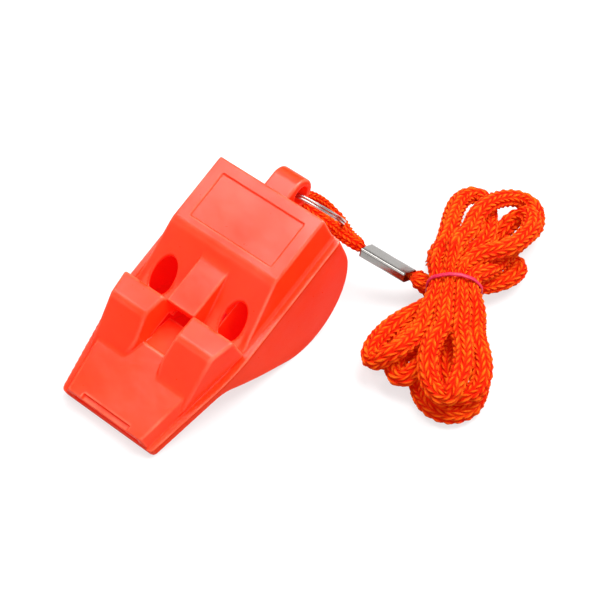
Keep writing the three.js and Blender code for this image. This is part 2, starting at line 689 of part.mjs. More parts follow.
// Elastic band round the waist of the hank: the hull of the runs inside it, laid out.
function band() {
  const hull = (reach) => {
    const half = 1.5 * WAIST_PITCH;
    const shape = new THREE.Shape();
    for (let step = 0; step < 40; step += 1) {
      const angle = (2 * Math.PI * step) / 40;
      const [x, z] = [Math.cos(angle), Math.sin(angle)];
      const across = (x >= -1e-9 ? half : -half) + reach * x;
      const up = (z >= -1e-9 ? 2 * WAIST_PITCH : 0) + reach * z + WAIST_FLOOR;
      if (step === 0) shape.moveTo(across, up);
      else shape.lineTo(across, up);
    }
    return shape;
  };
  const axis = radians(WAIST_AXIS);
  const across = new THREE.Vector3(-Math.sin(axis), Math.cos(axis), 0);
  const up = new THREE.Vector3(0, 0, 1);
  const along = across.clone().cross(up);
  const loop = (reach, width) => {
    const geometry = new THREE.ExtrudeGeometry(hull(reach), { depth: width, bevelEnabled: false });
    geometry.translate(0, 0, BAND_RUN - width / 2);
    geometry.applyMatrix4(new THREE.Matrix4().makeBasis(across, up, along).setPosition(WAIST[0], WAIST[1], 0));
    return solid(geometry);
  };
  const inner = HANK_CORD / 2 + 0.35;
  return loop(inner + BAND_THICKNESS, BAND_WIDTH).subtract(loop(inner, BAND_WIDTH + 2));
}

// Cork ball lying at the bottom of the middle chamber.
function pea() {
  const middle = toTable(0, BARREL_Y, BARREL_Z);
  const drop = BARREL_RADIUS - WALL - PEA_RADIUS - PEA_GAP;
  const geometry = new THREE.SphereGeometry(PEA_RADIUS, 20, 14);
  geometry.translate(0, middle.y, middle.z - drop);
  return geometry;
}

const root = new THREE.Group();

function place(name, geometry, finish) {
  const mesh = new THREE.Mesh(geometry, new THREE.MeshStandardMaterial(finish));
  mesh.name = name;
  root.add(mesh);
  return mesh;
}

function placeWhistle(name, shape) {
  const geometry = geometryOf(shape);
  geometry.rotateX(radians(PITCH));
  geometry.translate(0, 0, -lowestOfWhistle());
  return place(name, geometry, ORANGE);
}

const own = [
  placeWhistle('body_shell', bodyShell()),
  placeWhistle('top_cover', topCover()),
  place('pea', pea(), CORK),
  place('split_ring', splitRing(), STEEL),
];
const hank = hankRoute(380);
place('ferrule', geometryOf(ferrule()), CHROME);
place('cord_ring_loop', tube(loopRoute(76), LOOP_CORD, 8), KNIT);
place('cord_hank', tube(hank, HANK_CORD, 6), KNIT);
place('hank_band', geometryOf(band()), ELASTIC);

// The whistle and its ring stand centred over the origin, on the table plane.
const box = new THREE.Box3();
own.forEach((mesh) => box.expandByObject(mesh));
const middle = box.getCenter(new THREE.Vector3());
root.children.forEach((mesh) => mesh.geometry.translate(-middle.x, -middle.y, -box.min.z));
console.log('shift', (-middle.x).toFixed(3), (-middle.y).toFixed(3), (-box.min.z).toFixed(3));
root.children.forEach((mesh) => {
  const count = mesh.geometry.index ? mesh.geometry.index.count : mesh.geometry.attributes.position.count;
  console.log(mesh.name, count / 3);
});

export default root;
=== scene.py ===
# Pea whistle with split ring, crimp ferrule and a knitted neck cord tied in a hank.
import math

import bpy
import numpy as np
from mathutils import Matrix


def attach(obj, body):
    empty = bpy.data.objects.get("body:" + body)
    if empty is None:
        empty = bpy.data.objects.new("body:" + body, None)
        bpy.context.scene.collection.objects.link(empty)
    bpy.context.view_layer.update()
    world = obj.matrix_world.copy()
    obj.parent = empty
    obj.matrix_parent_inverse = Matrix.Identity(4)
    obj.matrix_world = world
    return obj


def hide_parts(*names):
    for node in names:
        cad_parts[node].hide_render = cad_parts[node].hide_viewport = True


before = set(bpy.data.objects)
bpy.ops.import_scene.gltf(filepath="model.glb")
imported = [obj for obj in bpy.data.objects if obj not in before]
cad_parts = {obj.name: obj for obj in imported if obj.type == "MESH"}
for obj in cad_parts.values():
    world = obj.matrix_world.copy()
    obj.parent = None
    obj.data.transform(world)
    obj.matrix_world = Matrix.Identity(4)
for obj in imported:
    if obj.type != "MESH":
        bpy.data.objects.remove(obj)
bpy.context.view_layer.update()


# ---------------------------------------------------------------- camera
# Long lens on a stand at the front right of the table, looking down on the whistle at
# about 49 degrees.
AZIMUTH = math.radians(40.863)
ELEVATION = math.radians(48.92)
EYE = (0.210766, -0.215574, 0.353454)
SENSOR_WIDTH = 36.0
FOCAL_PIXELS = 2078.14
PICTURE_PIXELS = 600


def stand(thing, side, top, back, place):
    """Put a camera or lamp in the scene, its three axes and its place as matrix columns."""
    bpy.context.collection.objects.link(thing)
    pose = np.eye(4)
    pose[:3, 0], pose[:3, 1], pose[:3, 2], pose[:3, 3] = side, top, back, place
    thing.matrix_world = Matrix(pose.tolist())


lens = bpy.data.cameras.new("camera")
lens.sensor_fit = "HORIZONTAL"
lens.sensor_width = SENSOR_WIDTH
lens.lens = FOCAL_PIXELS / PICTURE_PIXELS * SENSOR_WIDTH
lens.clip_start = 0.01
lens.clip_end = 10.0
camera = bpy.data.objects.new("camera", lens)
camera_back = np.array([
    math.sin(AZIMUTH) * math.cos(ELEVATION),
    -math.cos(AZIMUTH) * math.cos(ELEVATION),
    math.sin(ELEVATION),
])
camera_side = np.array([math.cos(AZIMUTH), math.sin(AZIMUTH), 0.0])
stand(camera, camera_side, np.cross(camera_back, camera_side), camera_back, EYE)
bpy.context.scene.camera = camera


# ---------------------------------------------------------------- neck cord
# Tubular knit of synthetic yarn, dyed orange, in five columns of V stitches. A small loop
# of thinner cord holds the split ring, the neck loop is folded to and fro into a hank,
# and the ends of both are crimped in the ferrule.

# All lengths are millimetres. The whistle's own frame, x across, y from the tip and z up
# from the seam, is pitched about X so that tip and belly both touch the table.
MM = 0.001
BODY_LENGTH = 61.05
BARREL_RADIUS = 15.7
BARREL = (BODY_LENGTH - BARREL_RADIUS, -3.5)
PITCH = math.radians(22.26)
LIFT = BARREL_RADIUS - BARREL[0] * math.sin(PITCH) - BARREL[1] * math.cos(PITCH)
CENTRING = (0.0, -35.396, -0.002)
LUG_Y = BODY_LENGTH + 3.85
BORE_Z = 0.3


def table(points):
    """Points of the whistle's frame turned by the pitch and lifted, in the table frame."""
    points = np.asarray(points, float)
    y = points[..., 1] * math.cos(PITCH) - points[..., 2] * math.sin(PITCH)
    z = points[..., 1] * math.sin(PITCH) + points[..., 2] * math.cos(PITCH) + LIFT
    return np.stack([points[..., 0], y, z], axis=-1)


def metres(points):
    """Points of the table frame, shifted to the middle of the part and given in metres."""
    return (np.asarray(points, float) + CENTRING) * MM


def unit(vectors):
    """Each vector divided by its length."""
    vectors = np.asarray(vectors, float)
    return vectors / np.linalg.norm(vectors, axis=-1, keepdims=True)


# The ferrule's seat: its length runs from the small loop to the hank, and it is rolled
# about that length out of the line of sight.
FERRULE_FRONT = np.array([15.9, 67.8, 12.0])
FERRULE_BACK = np.array([25.5, 71.9, 6.8])
FERRULE_ROLL = math.radians(-23.5)
FERRULE_SHIFT = 0.33
SIGHT = np.array([214.0, -183.0, 355.0])
ferrule_along = unit(FERRULE_BACK - FERRULE_FRONT)
ferrule_span = np.linalg.norm(FERRULE_BACK - FERRULE_FRONT)
to_eye = unit(SIGHT - FERRULE_FRONT)
ferrule_long = unit(to_eye - ferrule_along * (to_eye @ ferrule_along))
ferrule_short = np.cross(ferrule_along, ferrule_long)
ferrule_wide = ferrule_long * math.cos(FERRULE_ROLL) - ferrule_short * math.sin(FERRULE_ROLL)
ferrule_flat = np.cross(ferrule_along, ferrule_wide)
ferrule_seat = FERRULE_FRONT + FERRULE_SHIFT * ferrule_short

# The hank's waist: twelve runs of cord in three layers of four places, under the band.
WAIST = np.array([35.6, 74.8])
WAIST_AXIS = math.radians(-55)
WAIST_HALF = 3.4
WAIST_CORE = 1.5
WAIST_PITCH = 3.75
WAIST_FLOOR = 2.9
waist_run = np.array([math.cos(WAIST_AXIS), math.sin(WAIST_AXIS)])
waist_side = np.array([-waist_run[1], waist_run[0]])
PLACES = {
    "a": (-1.5, 0), "b": (-0.5, 0), "c": (0.5, 0), "d": (1.5, 0),
    "e": (-1.5, 1), "f": (-0.5, 1), "g": (0.5, 1), "h": (1.5, 1),
    "k": (-1.5, 2), "i": (-0.5, 2), "j": (0.5, 2), "l": (1.5, 2),
}
# Each bight: place in the waist where it starts and ends, side of the waist, direction in
# degrees, reach, half width, and its heights on the way out, at its tip and on the way back.
BIGHTS = [
    ("a", "b", 1, -95, 26.0, 3.6, 2.0, 2.0, 2.0),
    ("b", "c", -1, 135, 20.0, 2.8, 2.0, 2.0, 2.0),
    ("c", "d", 1, -54, 33.6, 7.2, 2.0, 2.0, 2.0),
    ("d", "h", -1, 80, 21.0, 4.4, 3.0, 2.0, 4.0),
    ("h", "l", 1, -46, 31.6, 4.4, 5.0, 4.0, 7.5),
    ("l", "i", -1, 98, 36.0, 5.4, 7.0, 4.0, 9.0),
    ("i", "j", 1, -57, 33.4, 4.3, 9.5, 6.0, 9.5),
    ("j", "g", -1, 92, 30.6, 4.4, 9.0, 6.0, 6.0),
    ("g", "f", 1, -78, 29.4, 3.9, 6.0, 4.0, 6.0),
    ("f", "k", -1, 118, 33.4, 4.5, 6.0, 5.0, 8.0),
    ("k", "e", 1, -92, 29.4, 3.8, 8.5, 4.5, 6.0),
]
# A bight's outline, as shares of its reach and of its half width.
BIGHT_NECK = (0.42, 0.85)
BIGHT_BELLY = (0.7, 1)
BIGHT_SHOULDER = (0.92, 0.66)
HANK_CORD_RADIUS = 2.1
HANK_CORD_STEP = 0.3
HANK_LEAD = 1.78
HANK_POINTS = 380
LEAD_INSIDE = 1.5
LEAD_OUT = 1.6
CORD_FLOOR = 1.9
FREE_PITCH = 4.05
NEXT_RUN = 2.4
SETTLE_ROUNDS = 150
EARLY_ROUNDS = 90
EARLY_SMOOTH, EARLY_PUSH = 0.12, 0.25
LATE_SMOOTH, LATE_PUSH = 0.03, 0.3
TETHER = 0.02
WAIST_FADE = 10
HELD_END = 3.4
HELD_WAIST = 2.2
SPLINE_STEPS = 20


def spread(points, count):
    """Evenly spaced points on a centripetal Catmull-Rom spline through the given points.

    Between two points it is the Hermite cubic whose end slopes are the divided
    differences over steps of the square root of the distance.
    """
    points = np.asarray(points, float)
    steps = np.r_[0, np.cumsum(np.linalg.norm(np.diff(points, axis=0), axis=1) ** 0.5)]
    before = np.vstack([2 * points[0] - points[1], points[:-2]])
    after = np.vstack([points[2:], 2 * points[-1] - points[-2]])
    t0 = np.r_[2 * steps[0] - steps[1], steps[:-2]][:, None]
    t1, t2 = steps[:-1, None], steps[1:, None]
    t3 = np.r_[steps[2:], 2 * steps[-1] - steps[-2]][:, None]
    here, there = points[:-1], points[1:]
    slope = (there - here) / (t2 - t1)
    first = (t2 - t1) * (slope - (there - before) / (t2 - t0) + (here - before) / (t1 - t0))
    second = (t2 - t1) * ((after - there) / (t3 - t2) - (after - here) / (t3 - t1) + slope)
    s = (np.arange(SPLINE_STEPS) / SPLINE_STEPS)[None, :, None]
    fine = (
        (2 * s**3 - 3 * s**2 + 1) * here[:, None]
        + (s**3 - 2 * s**2 + s) * first[:, None]
        + (3 * s**2 - 2 * s**3) * there[:, None]
        + (s**3 - s**2) * second[:, None]
    )
    fine = np.vstack([fine.reshape(-1, 3), points[-1:]])
    run = np.r_[0, np.cumsum(np.linalg.norm(np.diff(fine, axis=0), axis=1))]
    want = np.linspace(0, run[-1], count)
    return np.stack([np.interp(want, run, fine[:, k]) for k in range(3)], axis=1)


def settle(start):
    """Runs of one cord push each other apart and rest on the table, ends and waist held.

    In each round a point moves by a share of the way to the middle of its neighbours,
    by a share of each overlap with another run, and early on by a share of the way
    back to its start.
    """
    points = start.copy()
    count = len(points)
    step = np.linalg.norm(np.diff(points, axis=0), axis=1).mean()
    first, second = np.triu_indices(count, math.ceil(NEXT_RUN * FREE_PITCH / step))
    ends = math.ceil(HELD_END / step)
    free = np.ones((count, 1))
    free[:ends] = free[-ends:] = 0
    free[np.abs((start[:, :2] - WAIST) @ waist_run) < HELD_WAIST] = 0
    for turn in range(SETTLE_ROUNDS):
        early = turn < EARLY_ROUNDS
        smooth = EARLY_SMOOTH if early else LATE_SMOOTH
        shove = EARLY_PUSH if early else LATE_PUSH
        moves = np.zeros_like(points)
        moves[1:-1] = smooth * (0.5 * (points[:-2] + points[2:]) - points[1:-1])
        along = np.abs((points[:, :2] - WAIST) @ waist_run)
        pitch = WAIST_PITCH + (FREE_PITCH - WAIST_PITCH) * np.minimum(1, along / WAIST_FADE)
        want = 0.5 * (pitch[first] + pitch[second])
        apart = points[second] - points[first]
        length = np.linalg.norm(apart, axis=1)
        near = length < want
        push = ((shove * (want - length))[near] / length[near])[:, None] * apart[near]
        np.add.at(moves, first[near], -push)
        np.add.at(moves, second[near], push)
        if early:
            points += TETHER * (start - points) * free
        points += moves * free
        points[:, 2] = np.maximum(points[:, 2], CORD_FLOOR)
    return points


def waist_point(name, run):
    """Point of one of the waist's places, at a distance along the waist."""
    column, row = PLACES[name]
    level = WAIST + waist_run * run + waist_side * column * WAIST_PITCH
    return np.array([*level, WAIST_FLOOR + row * WAIST_PITCH])


def hank_route():
    """Centreline of the neck loop: out of the ferrule, through the bights and back in.

    A bight's point is the waist, plus its direction times a share of the reach, plus
    the direction's normal times a share of the half width, first on one side of the
    direction and then on the other.
    """
    low = FERRULE_BACK - ferrule_long * HANK_LEAD
    high = FERRULE_BACK + ferrule_long * HANK_LEAD
    lead_out = LEAD_OUT * ferrule_along
    through = (-WAIST_HALF, -WAIST_CORE, WAIST_CORE, WAIST_HALF)
    route = [low - LEAD_INSIDE * ferrule_along, low, low + lead_out]
    for start, end, side, direction, reach, half, rise, tip, fall in BIGHTS:
        route += [waist_point(start, side * run) for run in through]
        angle = math.radians(direction)
        out = np.array([math.cos(angle), math.sin(angle)])
        across = np.array([-out[1], out[0]])
        columns = PLACES[start][0] - PLACES[end][0]
        rows = PLACES[start][1] - PLACES[end][1]
        leg = np.sign(rows * side if columns == 0 else (waist_run @ out) * columns)
        for (share, width), level, sign in (
            (BIGHT_NECK, rise, leg), (BIGHT_BELLY, rise, leg),
            (BIGHT_SHOULDER, 0.5 * (rise + tip), leg), ((1, 0), tip, leg),
            (BIGHT_SHOULDER, 0.5 * (fall + tip), -leg),
            (BIGHT_BELLY, fall, -leg), (BIGHT_NECK, fall, -leg),
        ):
            place = WAIST + out * reach * share + across * half * width * sign
            route.append(np.array([*place, level]))
    route += [waist_point("e", -run) for run in through]
    route += [high + lead_out, high, high - LEAD_INSIDE * ferrule_along]
    return settle(spread(route, HANK_POINTS))


# The small loop's way is given in the split ring's own plane, which hangs from the bore
# of the lug and is turned a little out of square.
RING_ANGLE = math.radians(56.0)
RING_TURN = math.radians(6.0)
RING_RADIUS = 9.6
LUG_BORE = table([0, LUG_Y, BORE_Z])
LOOP_BIGHT = [
    (11.0, 17.0, -2.8), (8.4, 18.7, -1.9), (5.6, 20.5, -0.4), (3.0, 21.3, 1.2),
    (0.6, 19.2, 2.7), (-1.4, 14.6, 2.5), (-2.4, 11.2, 0.8), (-1.7, 9.8, -1.4),
    (1.2, 10.4, -2.7), (5.6, 12.6, -3.1), (10.0, 13.6, -3.4),
]
LOOP_CORD_RADIUS = 1.6
LOOP_CORD_STEP = 0.2
LOOP_LEAD = 1.6
LOOP_LEAD_OUT = 1.8
LOOP_POINTS = 76
LOOP_SMOOTHING = 10
PINCH_START, PINCH_FADE = 2.0, 5.0
PINCH_FAR, PINCH_NEAR = 0.5, 0.4
PINCH_SINK, PINCH_SINK_FADE = 3.0, 2.0


def ring_point(across, down, off):
    """Point of the ring's plane: turned about the line down it, then tipped about X."""
    side = across * np.cos(RING_TURN) - off * np.sin(RING_TURN)
    lift = across * np.sin(RING_TURN) + off * np.cos(RING_TURN)
    return LUG_BORE + np.stack([
        side + 0 * down,
        down * np.cos(RING_ANGLE) + lift * np.sin(RING_ANGLE),
        -down * np.sin(RING_ANGLE) + lift * np.cos(RING_ANGLE),
    ], axis=-1)


def loop_route():
    """Centreline of the small loop, each point then moved half way to its neighbours' middle."""
    high = FERRULE_FRONT + ferrule_long * LOOP_LEAD
    low = FERRULE_FRONT - ferrule_long * LOOP_LEAD
    lead_out = LOOP_LEAD_OUT * ferrule_along
    route = [low + LEAD_INSIDE * ferrule_along, low, low - lead_out]
    route += [ring_point(*point) for point in LOOP_BIGHT]
    route += [high - lead_out, high, high + LEAD_INSIDE * ferrule_along]
    points = spread(route, LOOP_POINTS)
    for _ in range(LOOP_SMOOTHING):
        middle = 0.5 * (points[4:-6] + points[6:-4])
        points[5:-5] += 0.5 * (middle - points[5:-5])
    return points


def pinch(points):
    """The small loop drawn to the line from ferrule to ring by a share of its distance.

    The share grows from nothing at the ferrule to its full value. The far strand also
    sinks away from the eye.
    """
    run = unit(LUG_BORE - FERRULE_FRONT)
    side = unit(np.cross(SIGHT - FERRULE_FRONT, run))
    away = points - FERRULE_FRONT
    share = np.clip((away @ run - PINCH_START) / PINCH_FADE, 0, 1)
    middle = (ring_point(0.0, np.array(RING_RADIUS), 0.0) - FERRULE_FRONT) @ side
    across = away @ side - middle
    draw = np.where(across > 0, PINCH_FAR, PINCH_NEAR)
    sink = PINCH_SINK * share * np.clip(across / PINCH_SINK_FADE, 0, 1)
    return points - (draw * share * across)[:, None] * side - sink[:, None] * to_eye


# Two places in the hank where strands lie close, as middle and reach.
CLOSE_STRANDS = (((54.8, 50.0), 3.6), ((44.3, 63.5), 5.0))
CLOSE_PULL = 0.5


def close_gap(points, middle, reach):
    """Strands drawn towards a point of the plan by pull * exp(-(distance / reach)^2)."""
    away = points[:, :2] - middle
    share = CLOSE_PULL * np.exp(-(away**2).sum(axis=1) / reach**2)
    return points - np.column_stack([share[:, None] * away, 0 * share])


# The knit. A stitch is a V of two legs, and each wale is one column of them.
WALES = 5
POINTS_PER_WALE = 8
STITCH = 0.84
LEAN = 1.1
LEG_FOOT, LEG_RISE = 0.15, 0.85
RELIEF = 0.62
RELIEF_BY_RADIUS, RELIEF_PLAIN = 0.25, 0.5
FLATTEN = np.array([1.17, 1.17, 0.88])
STITCH_WAVER = ((0.15, 3.1, 0.0), (0.1, 1.3, 2.0))
TWIST_WAVER = ((0.35, 23.0, 0.0), (0.15, 7.1, 1.0))
GATHER = 0.29
GATHER_ALONG, GATHER_ACROSS = 8.0, 12.0
SINK, SINK_ACROSS, SINK_MOST = 0.30, 9.0, 0.5
BAND_DRAW = 0.1
BAND_DRAW_ALONG = 4.0
SQUEEZE_REACH = 2.4
SQUEEZE_ROUND = 6
SQUEEZE_WIDE, SQUEEZE_FLAT = 0.40, 0.70


def path_frames(points):
    """Two normals along a path, each turned out of the last with the least twist."""
    tangents = unit(np.gradient(points, axis=0))
    normals = np.zeros_like(points)
    helper = np.array([0, 0, 1.0]) if abs(tangents[0][2]) < 0.9 else np.array([1.0, 0, 0])
    normals[0] = unit(helper - tangents[0] * (helper @ tangents[0]))
    for k in range(1, len(points)):
        side = normals[k - 1] - tangents[k] * (normals[k - 1] @ tangents[k])
        normals[k] = side / np.linalg.norm(side)
    return normals, np.cross(tangents, normals)


def gather(points):
    """Points drawn together across the waist, as the band pulls them, and let down beside it.

    The pull is exp(-(along / its reach)^2 - (across / its reach)^4), and the sinking
    grows with the square of the distance across.
    """
    points = np.array(points, float)
    level = points[..., :2] - WAIST
    along, across = level @ waist_run, level @ waist_side
    pull = np.exp(-((along / GATHER_ALONG) ** 2) - (across / GATHER_ACROSS) ** 4)
    points[..., :2] -= (GATHER * pull * across)[..., None] * waist_side
    sink = np.clip(SINK * pull * (across / SINK_ACROSS) ** 2, 0, SINK_MOST)
    points[..., 2] = CORD_FLOOR + (points[..., 2] - CORD_FLOOR) * (1 - sink)
    return points


def squeeze(points):
    """Points near the ferrule pressed to its axis by a share that fades along it smoothly."""
    points = np.array(points, float)
    away = points - ferrule_seat
    run = away @ ferrule_along
    beyond = np.maximum(np.maximum(-run, run - ferrule_span), 0)
    share = np.clip(1 - beyond / SQUEEZE_REACH, 0, 1)
    from_axis = np.linalg.norm(away - run[..., None] * ferrule_along, axis=-1)
    share = share * share * (3 - 2 * share) * (from_axis < SQUEEZE_ROUND)
    for axis, press in ((ferrule_wide, SQUEEZE_WIDE), (ferrule_flat, SQUEEZE_FLAT)):
        points -= (press * share * (away @ axis))[..., None] * axis
    return points


def knit_height(along, wale):
    """Relief of the stitches, 0 to 1: each leg of a V is a parabola across its bar.

    The phase runs along the cord less the lean times the distance from the V's point,
    and a second parabola along the leg lets both its ends dip.
    """
    across = 2 * np.abs(np.mod(wale, 1) - 0.5)
    phase = np.mod(along - LEAN * across, 1)
    bar = np.clip(1 - (2 * phase - 1) ** 2, 0, 1)
    ends = 1 - np.abs(2 * across - 1) ** 2
    return bar * (LEG_FOOT + LEG_RISE * ends)


def waver(run, waves):
    """Sum of sines along the cord, each with its size, length and phase."""
    return sum(size * np.sin(run / length + phase) for size, length, phase in waves)


def add_mesh(name, vertices, faces, material, normals=None):
    """Smooth object at the origin from vertices in metres and an array of faces."""
    mesh = bpy.data.meshes.new(name)
    count, sides = faces.shape
    mesh.vertices.add(len(vertices))
    mesh.vertices.foreach_set("co", np.asarray(vertices, np.float32).ravel())
    mesh.loops.add(count * sides)
    mesh.loops.foreach_set("vertex_index", faces.astype(np.int32).ravel())
    mesh.polygons.add(count)
    mesh.polygons.foreach_set("loop_start", (np.arange(count) * sides).astype(np.int32))
    mesh.update(calc_edges=True)
    mesh.polygons.foreach_set("use_smooth", np.ones(count, bool))
    if normals is not None:
        mesh.normals_split_custom_set_from_vertices(np.asarray(normals, np.float32).tolist())
    mesh.materials.append(material)
    piece = bpy.data.objects.new(name, mesh)
    bpy.context.collection.objects.link(piece)
    return piece


def grid_faces(rows, columns, closed_rows=False, closed_columns=True):
    """Quads of a grid of rows by columns, wrapped round where it is closed."""
    i = np.arange(rows if closed_rows else rows - 1)[:, None]
    j = np.arange(columns if closed_columns else columns - 1)[None, :]
    i2, j2 = (i + 1) % rows, (j + 1) % columns
    corners = [i * columns + j, i * columns + j2, i2 * columns + j2, i2 * columns + j]
    return np.stack([np.broadcast_to(c, (i.size, j.size)).ravel() for c in corners], axis=1)


def knit_tube(name, points, radius, step, material, draw=0.0):
    """Knitted tube: radius plus relief around a path, as a grid of path by angle.

    It is drawn thinner at the waist by draw * exp(-(along / reach)^2), its stitches and
    its twist waver, and both ends close in a point. The UV map counts stitches along
    the cord and runs from 0 to 1 round it.
    """
    length = np.linalg.norm(np.diff(points, axis=0), axis=1).sum()
    rows = int(length / step)
    columns = WALES * POINTS_PER_WALE
    path = spread(points, rows)
    normal, side = path_frames(path)
    run = np.linspace(0, length, rows)
    around = np.arange(columns) / columns
    stitches = run / (STITCH * radius) + waver(run, STITCH_WAVER)
    twist = waver(run, TWIST_WAVER)
    relief = RELIEF * (knit_height(stitches[:, None], (around * WALES)[None, :]) - 1)
    along_waist = (path[:, :2] - WAIST) @ waist_run
    thin = 1 - draw * np.exp(-((along_waist / BAND_DRAW_ALONG) ** 2))
    reach = (radius * (1 + RELIEF_BY_RADIUS * relief)) * thin[:, None] + RELIEF_PLAIN * relief
    angle = 2 * math.pi * around[None, :] + twist[:, None]
    offset = (
        (reach * np.cos(angle))[..., None] * normal[:, None, :]
        + (reach * np.sin(angle))[..., None] * side[:, None, :]
    )
    skin = squeeze(gather(path[:, None, :] + offset * FLATTEN))
    closing = np.repeat(squeeze(gather(path[[0, -1]]))[:, None], columns, axis=1)
    skin = np.concatenate([closing[:1], skin, closing[1:]])
    faces = grid_faces(rows + 2, columns)
    piece = add_mesh(name, metres(skin.reshape(-1, 3)), faces, material)
    stitches = np.r_[stitches[0], stitches, stitches[-1]]
    row, column = faces // columns, faces % columns
    last = (column == 0) & (column[:, [0]] == columns - 1)
    column = np.where(last, columns, column)
    chart = np.stack([stitches[row], column / columns], axis=-1)
    layer = piece.data.uv_layers.new(name="uv")
    layer.data.foreach_set("uv", chart.astype(np.float32).ravel())
    return piece, gather(path), length


def feed(tree, socket, value):
    """Link a socket to another node's output, or set it to a number or colour."""
    if isinstance(value, bpy.types.NodeSocket):
        tree.links.new(value, socket)
    elif socket.type == "RGBA":
        socket.default_value = (*value, 1.0)
    else:
        socket.default_value = value


def add_node(tree, kind, feeds, **settings):
    """Outputs of a new shader node, its inputs fed by name or number."""
    node = tree.nodes.new(kind)
    for name, value in settings.items():
        setattr(node, name, value)
    for key, value in feeds.items():
        feed(tree, node.inputs[key], value)
    return node.outputs


def new_material(name, **settings):
    """Material with a Principled shader whose sockets are set by name."""
    material = bpy.data.materials.new(name)
    material.use_nodes = True
    tree = material.node_tree
    shader = tree.nodes["Principled BSDF"]
    for key, value in settings.items():
        feed(tree, shader.inputs[key.replace("_", " ")], value)
    return material, tree, shader


def calc(tree, operation, *values, clamp=False):
    """Output of a math node on up to three values."""
    feeds = dict(enumerate(values))
    return add_node(tree, "ShaderNodeMath", feeds, operation=operation, use_clamp=clamp)[0]


def mix_colour(tree, factor, first, second):
    """The first colour at 0 and the second at 1, and their linear mix between."""
    return add_node(tree, "ShaderNodeMix", {0: factor, 6: first, 7: second}, data_type="RGBA")[2]


def map_range(tree, value, **ends):
    """A value carried from one range to another, From_Min, From_Max, To_Min and To_Max."""
    feeds = {"Value": value} | {key.replace("_", " "): end for key, end in ends.items()}
    return add_node(tree, "ShaderNodeMapRange", feeds)[0]


def noise(tree, scale, detail=2.0, roughness=0.5):
    """Fractal noise on the object's own coordinates, 0 to 1."""
    place = tree.nodes.new("ShaderNodeTexCoord").outputs["Object"]
    feeds = {"Vector": place, "Scale": scale, "Detail": detail, "Roughness": roughness}
    return add_node(tree, "ShaderNodeTexNoise", feeds)["Fac"]


def add_bump(tree, shader, height, distance, strength, **under):
    """Bump of a height on the shader, over the normal of another where one is given."""
    feeds = {"Height": height, "Distance": distance, "Strength": strength} | under
    bump = add_node(tree, "ShaderNodeBump", feeds)[0]
    feed(tree, shader.inputs["Normal"], bump)
    return bump


def new_group(name, inputs, outputs):
    """Shader node group with named sockets: what it is given, and what it puts out."""
    group = bpy.data.node_groups.new(name, "ShaderNodeTree")
    for label, kind in inputs.items():
        group.interface.new_socket(label, in_out="INPUT", socket_type=kind)
    for label, kind in outputs.items():
        group.interface.new_socket(label, in_out="OUTPUT", socket_type=kind)
    given = group.nodes.new("NodeGroupInput").outputs
    return group, given, group.nodes.new("NodeGroupOutput").inputs


def use_group(tree, group, **values):
    """Outputs of a group placed in a material with its own values."""
    node = tree.nodes.new("ShaderNodeGroup")
    node.node_tree = group
    for label, value in values.items():
        feed(tree, node.inputs[label.replace("_", " ")], value)
    return node.outputs


# Grain, shared by yarn, elastic, plastic and cork: fractal noise, and the same between a
# low and a high level.
NUMBER, COLOUR = "NodeSocketFloat", "NodeSocketColor"
grain_group, given, result = new_group(
    "surface_grain",
    {"Scale": NUMBER, "Detail": NUMBER, "Roughness": NUMBER, "Low": NUMBER, "High": NUMBER},
    {"Grain": NUMBER, "Level": NUMBER},
)
group_noise = noise(grain_group, given["Scale"], given["Detail"], given["Roughness"])
feed(grain_group, result["Grain"], group_noise)
level = map_range(grain_group, group_noise, To_Min=given["Low"], To_Max=given["High"])
feed(grain_group, result["Level"], level)


def grain(tree, scale, detail=2.0, roughness=0.5, low=0.0, high=1.0):
    """The grain group with its own scale, detail, roughness and levels."""
    return use_group(
        tree, grain_group, Scale=scale, Detail=detail, Roughness=roughness, Low=low, High=high,
    )


# Painted highlight on the stitches' bars and painted shade in the gaps between them.
YARN_PAINTED_HIGHLIGHT = (1.0, 0.155, 0.006)
YARN_PAINTED_SHADE = (0.76, 0.010, 0.0005)
YARN_SHADE_CONTRAST = 2.3
YARN_BUMP = 0.0004
PLIES, PLIES_SLANT = 31.0, 9.0
PLIES_PAINTED_SHADE, PLIES_HEIGHT = 0.05, 0.06
FIBRE_HEIGHT = 0.25


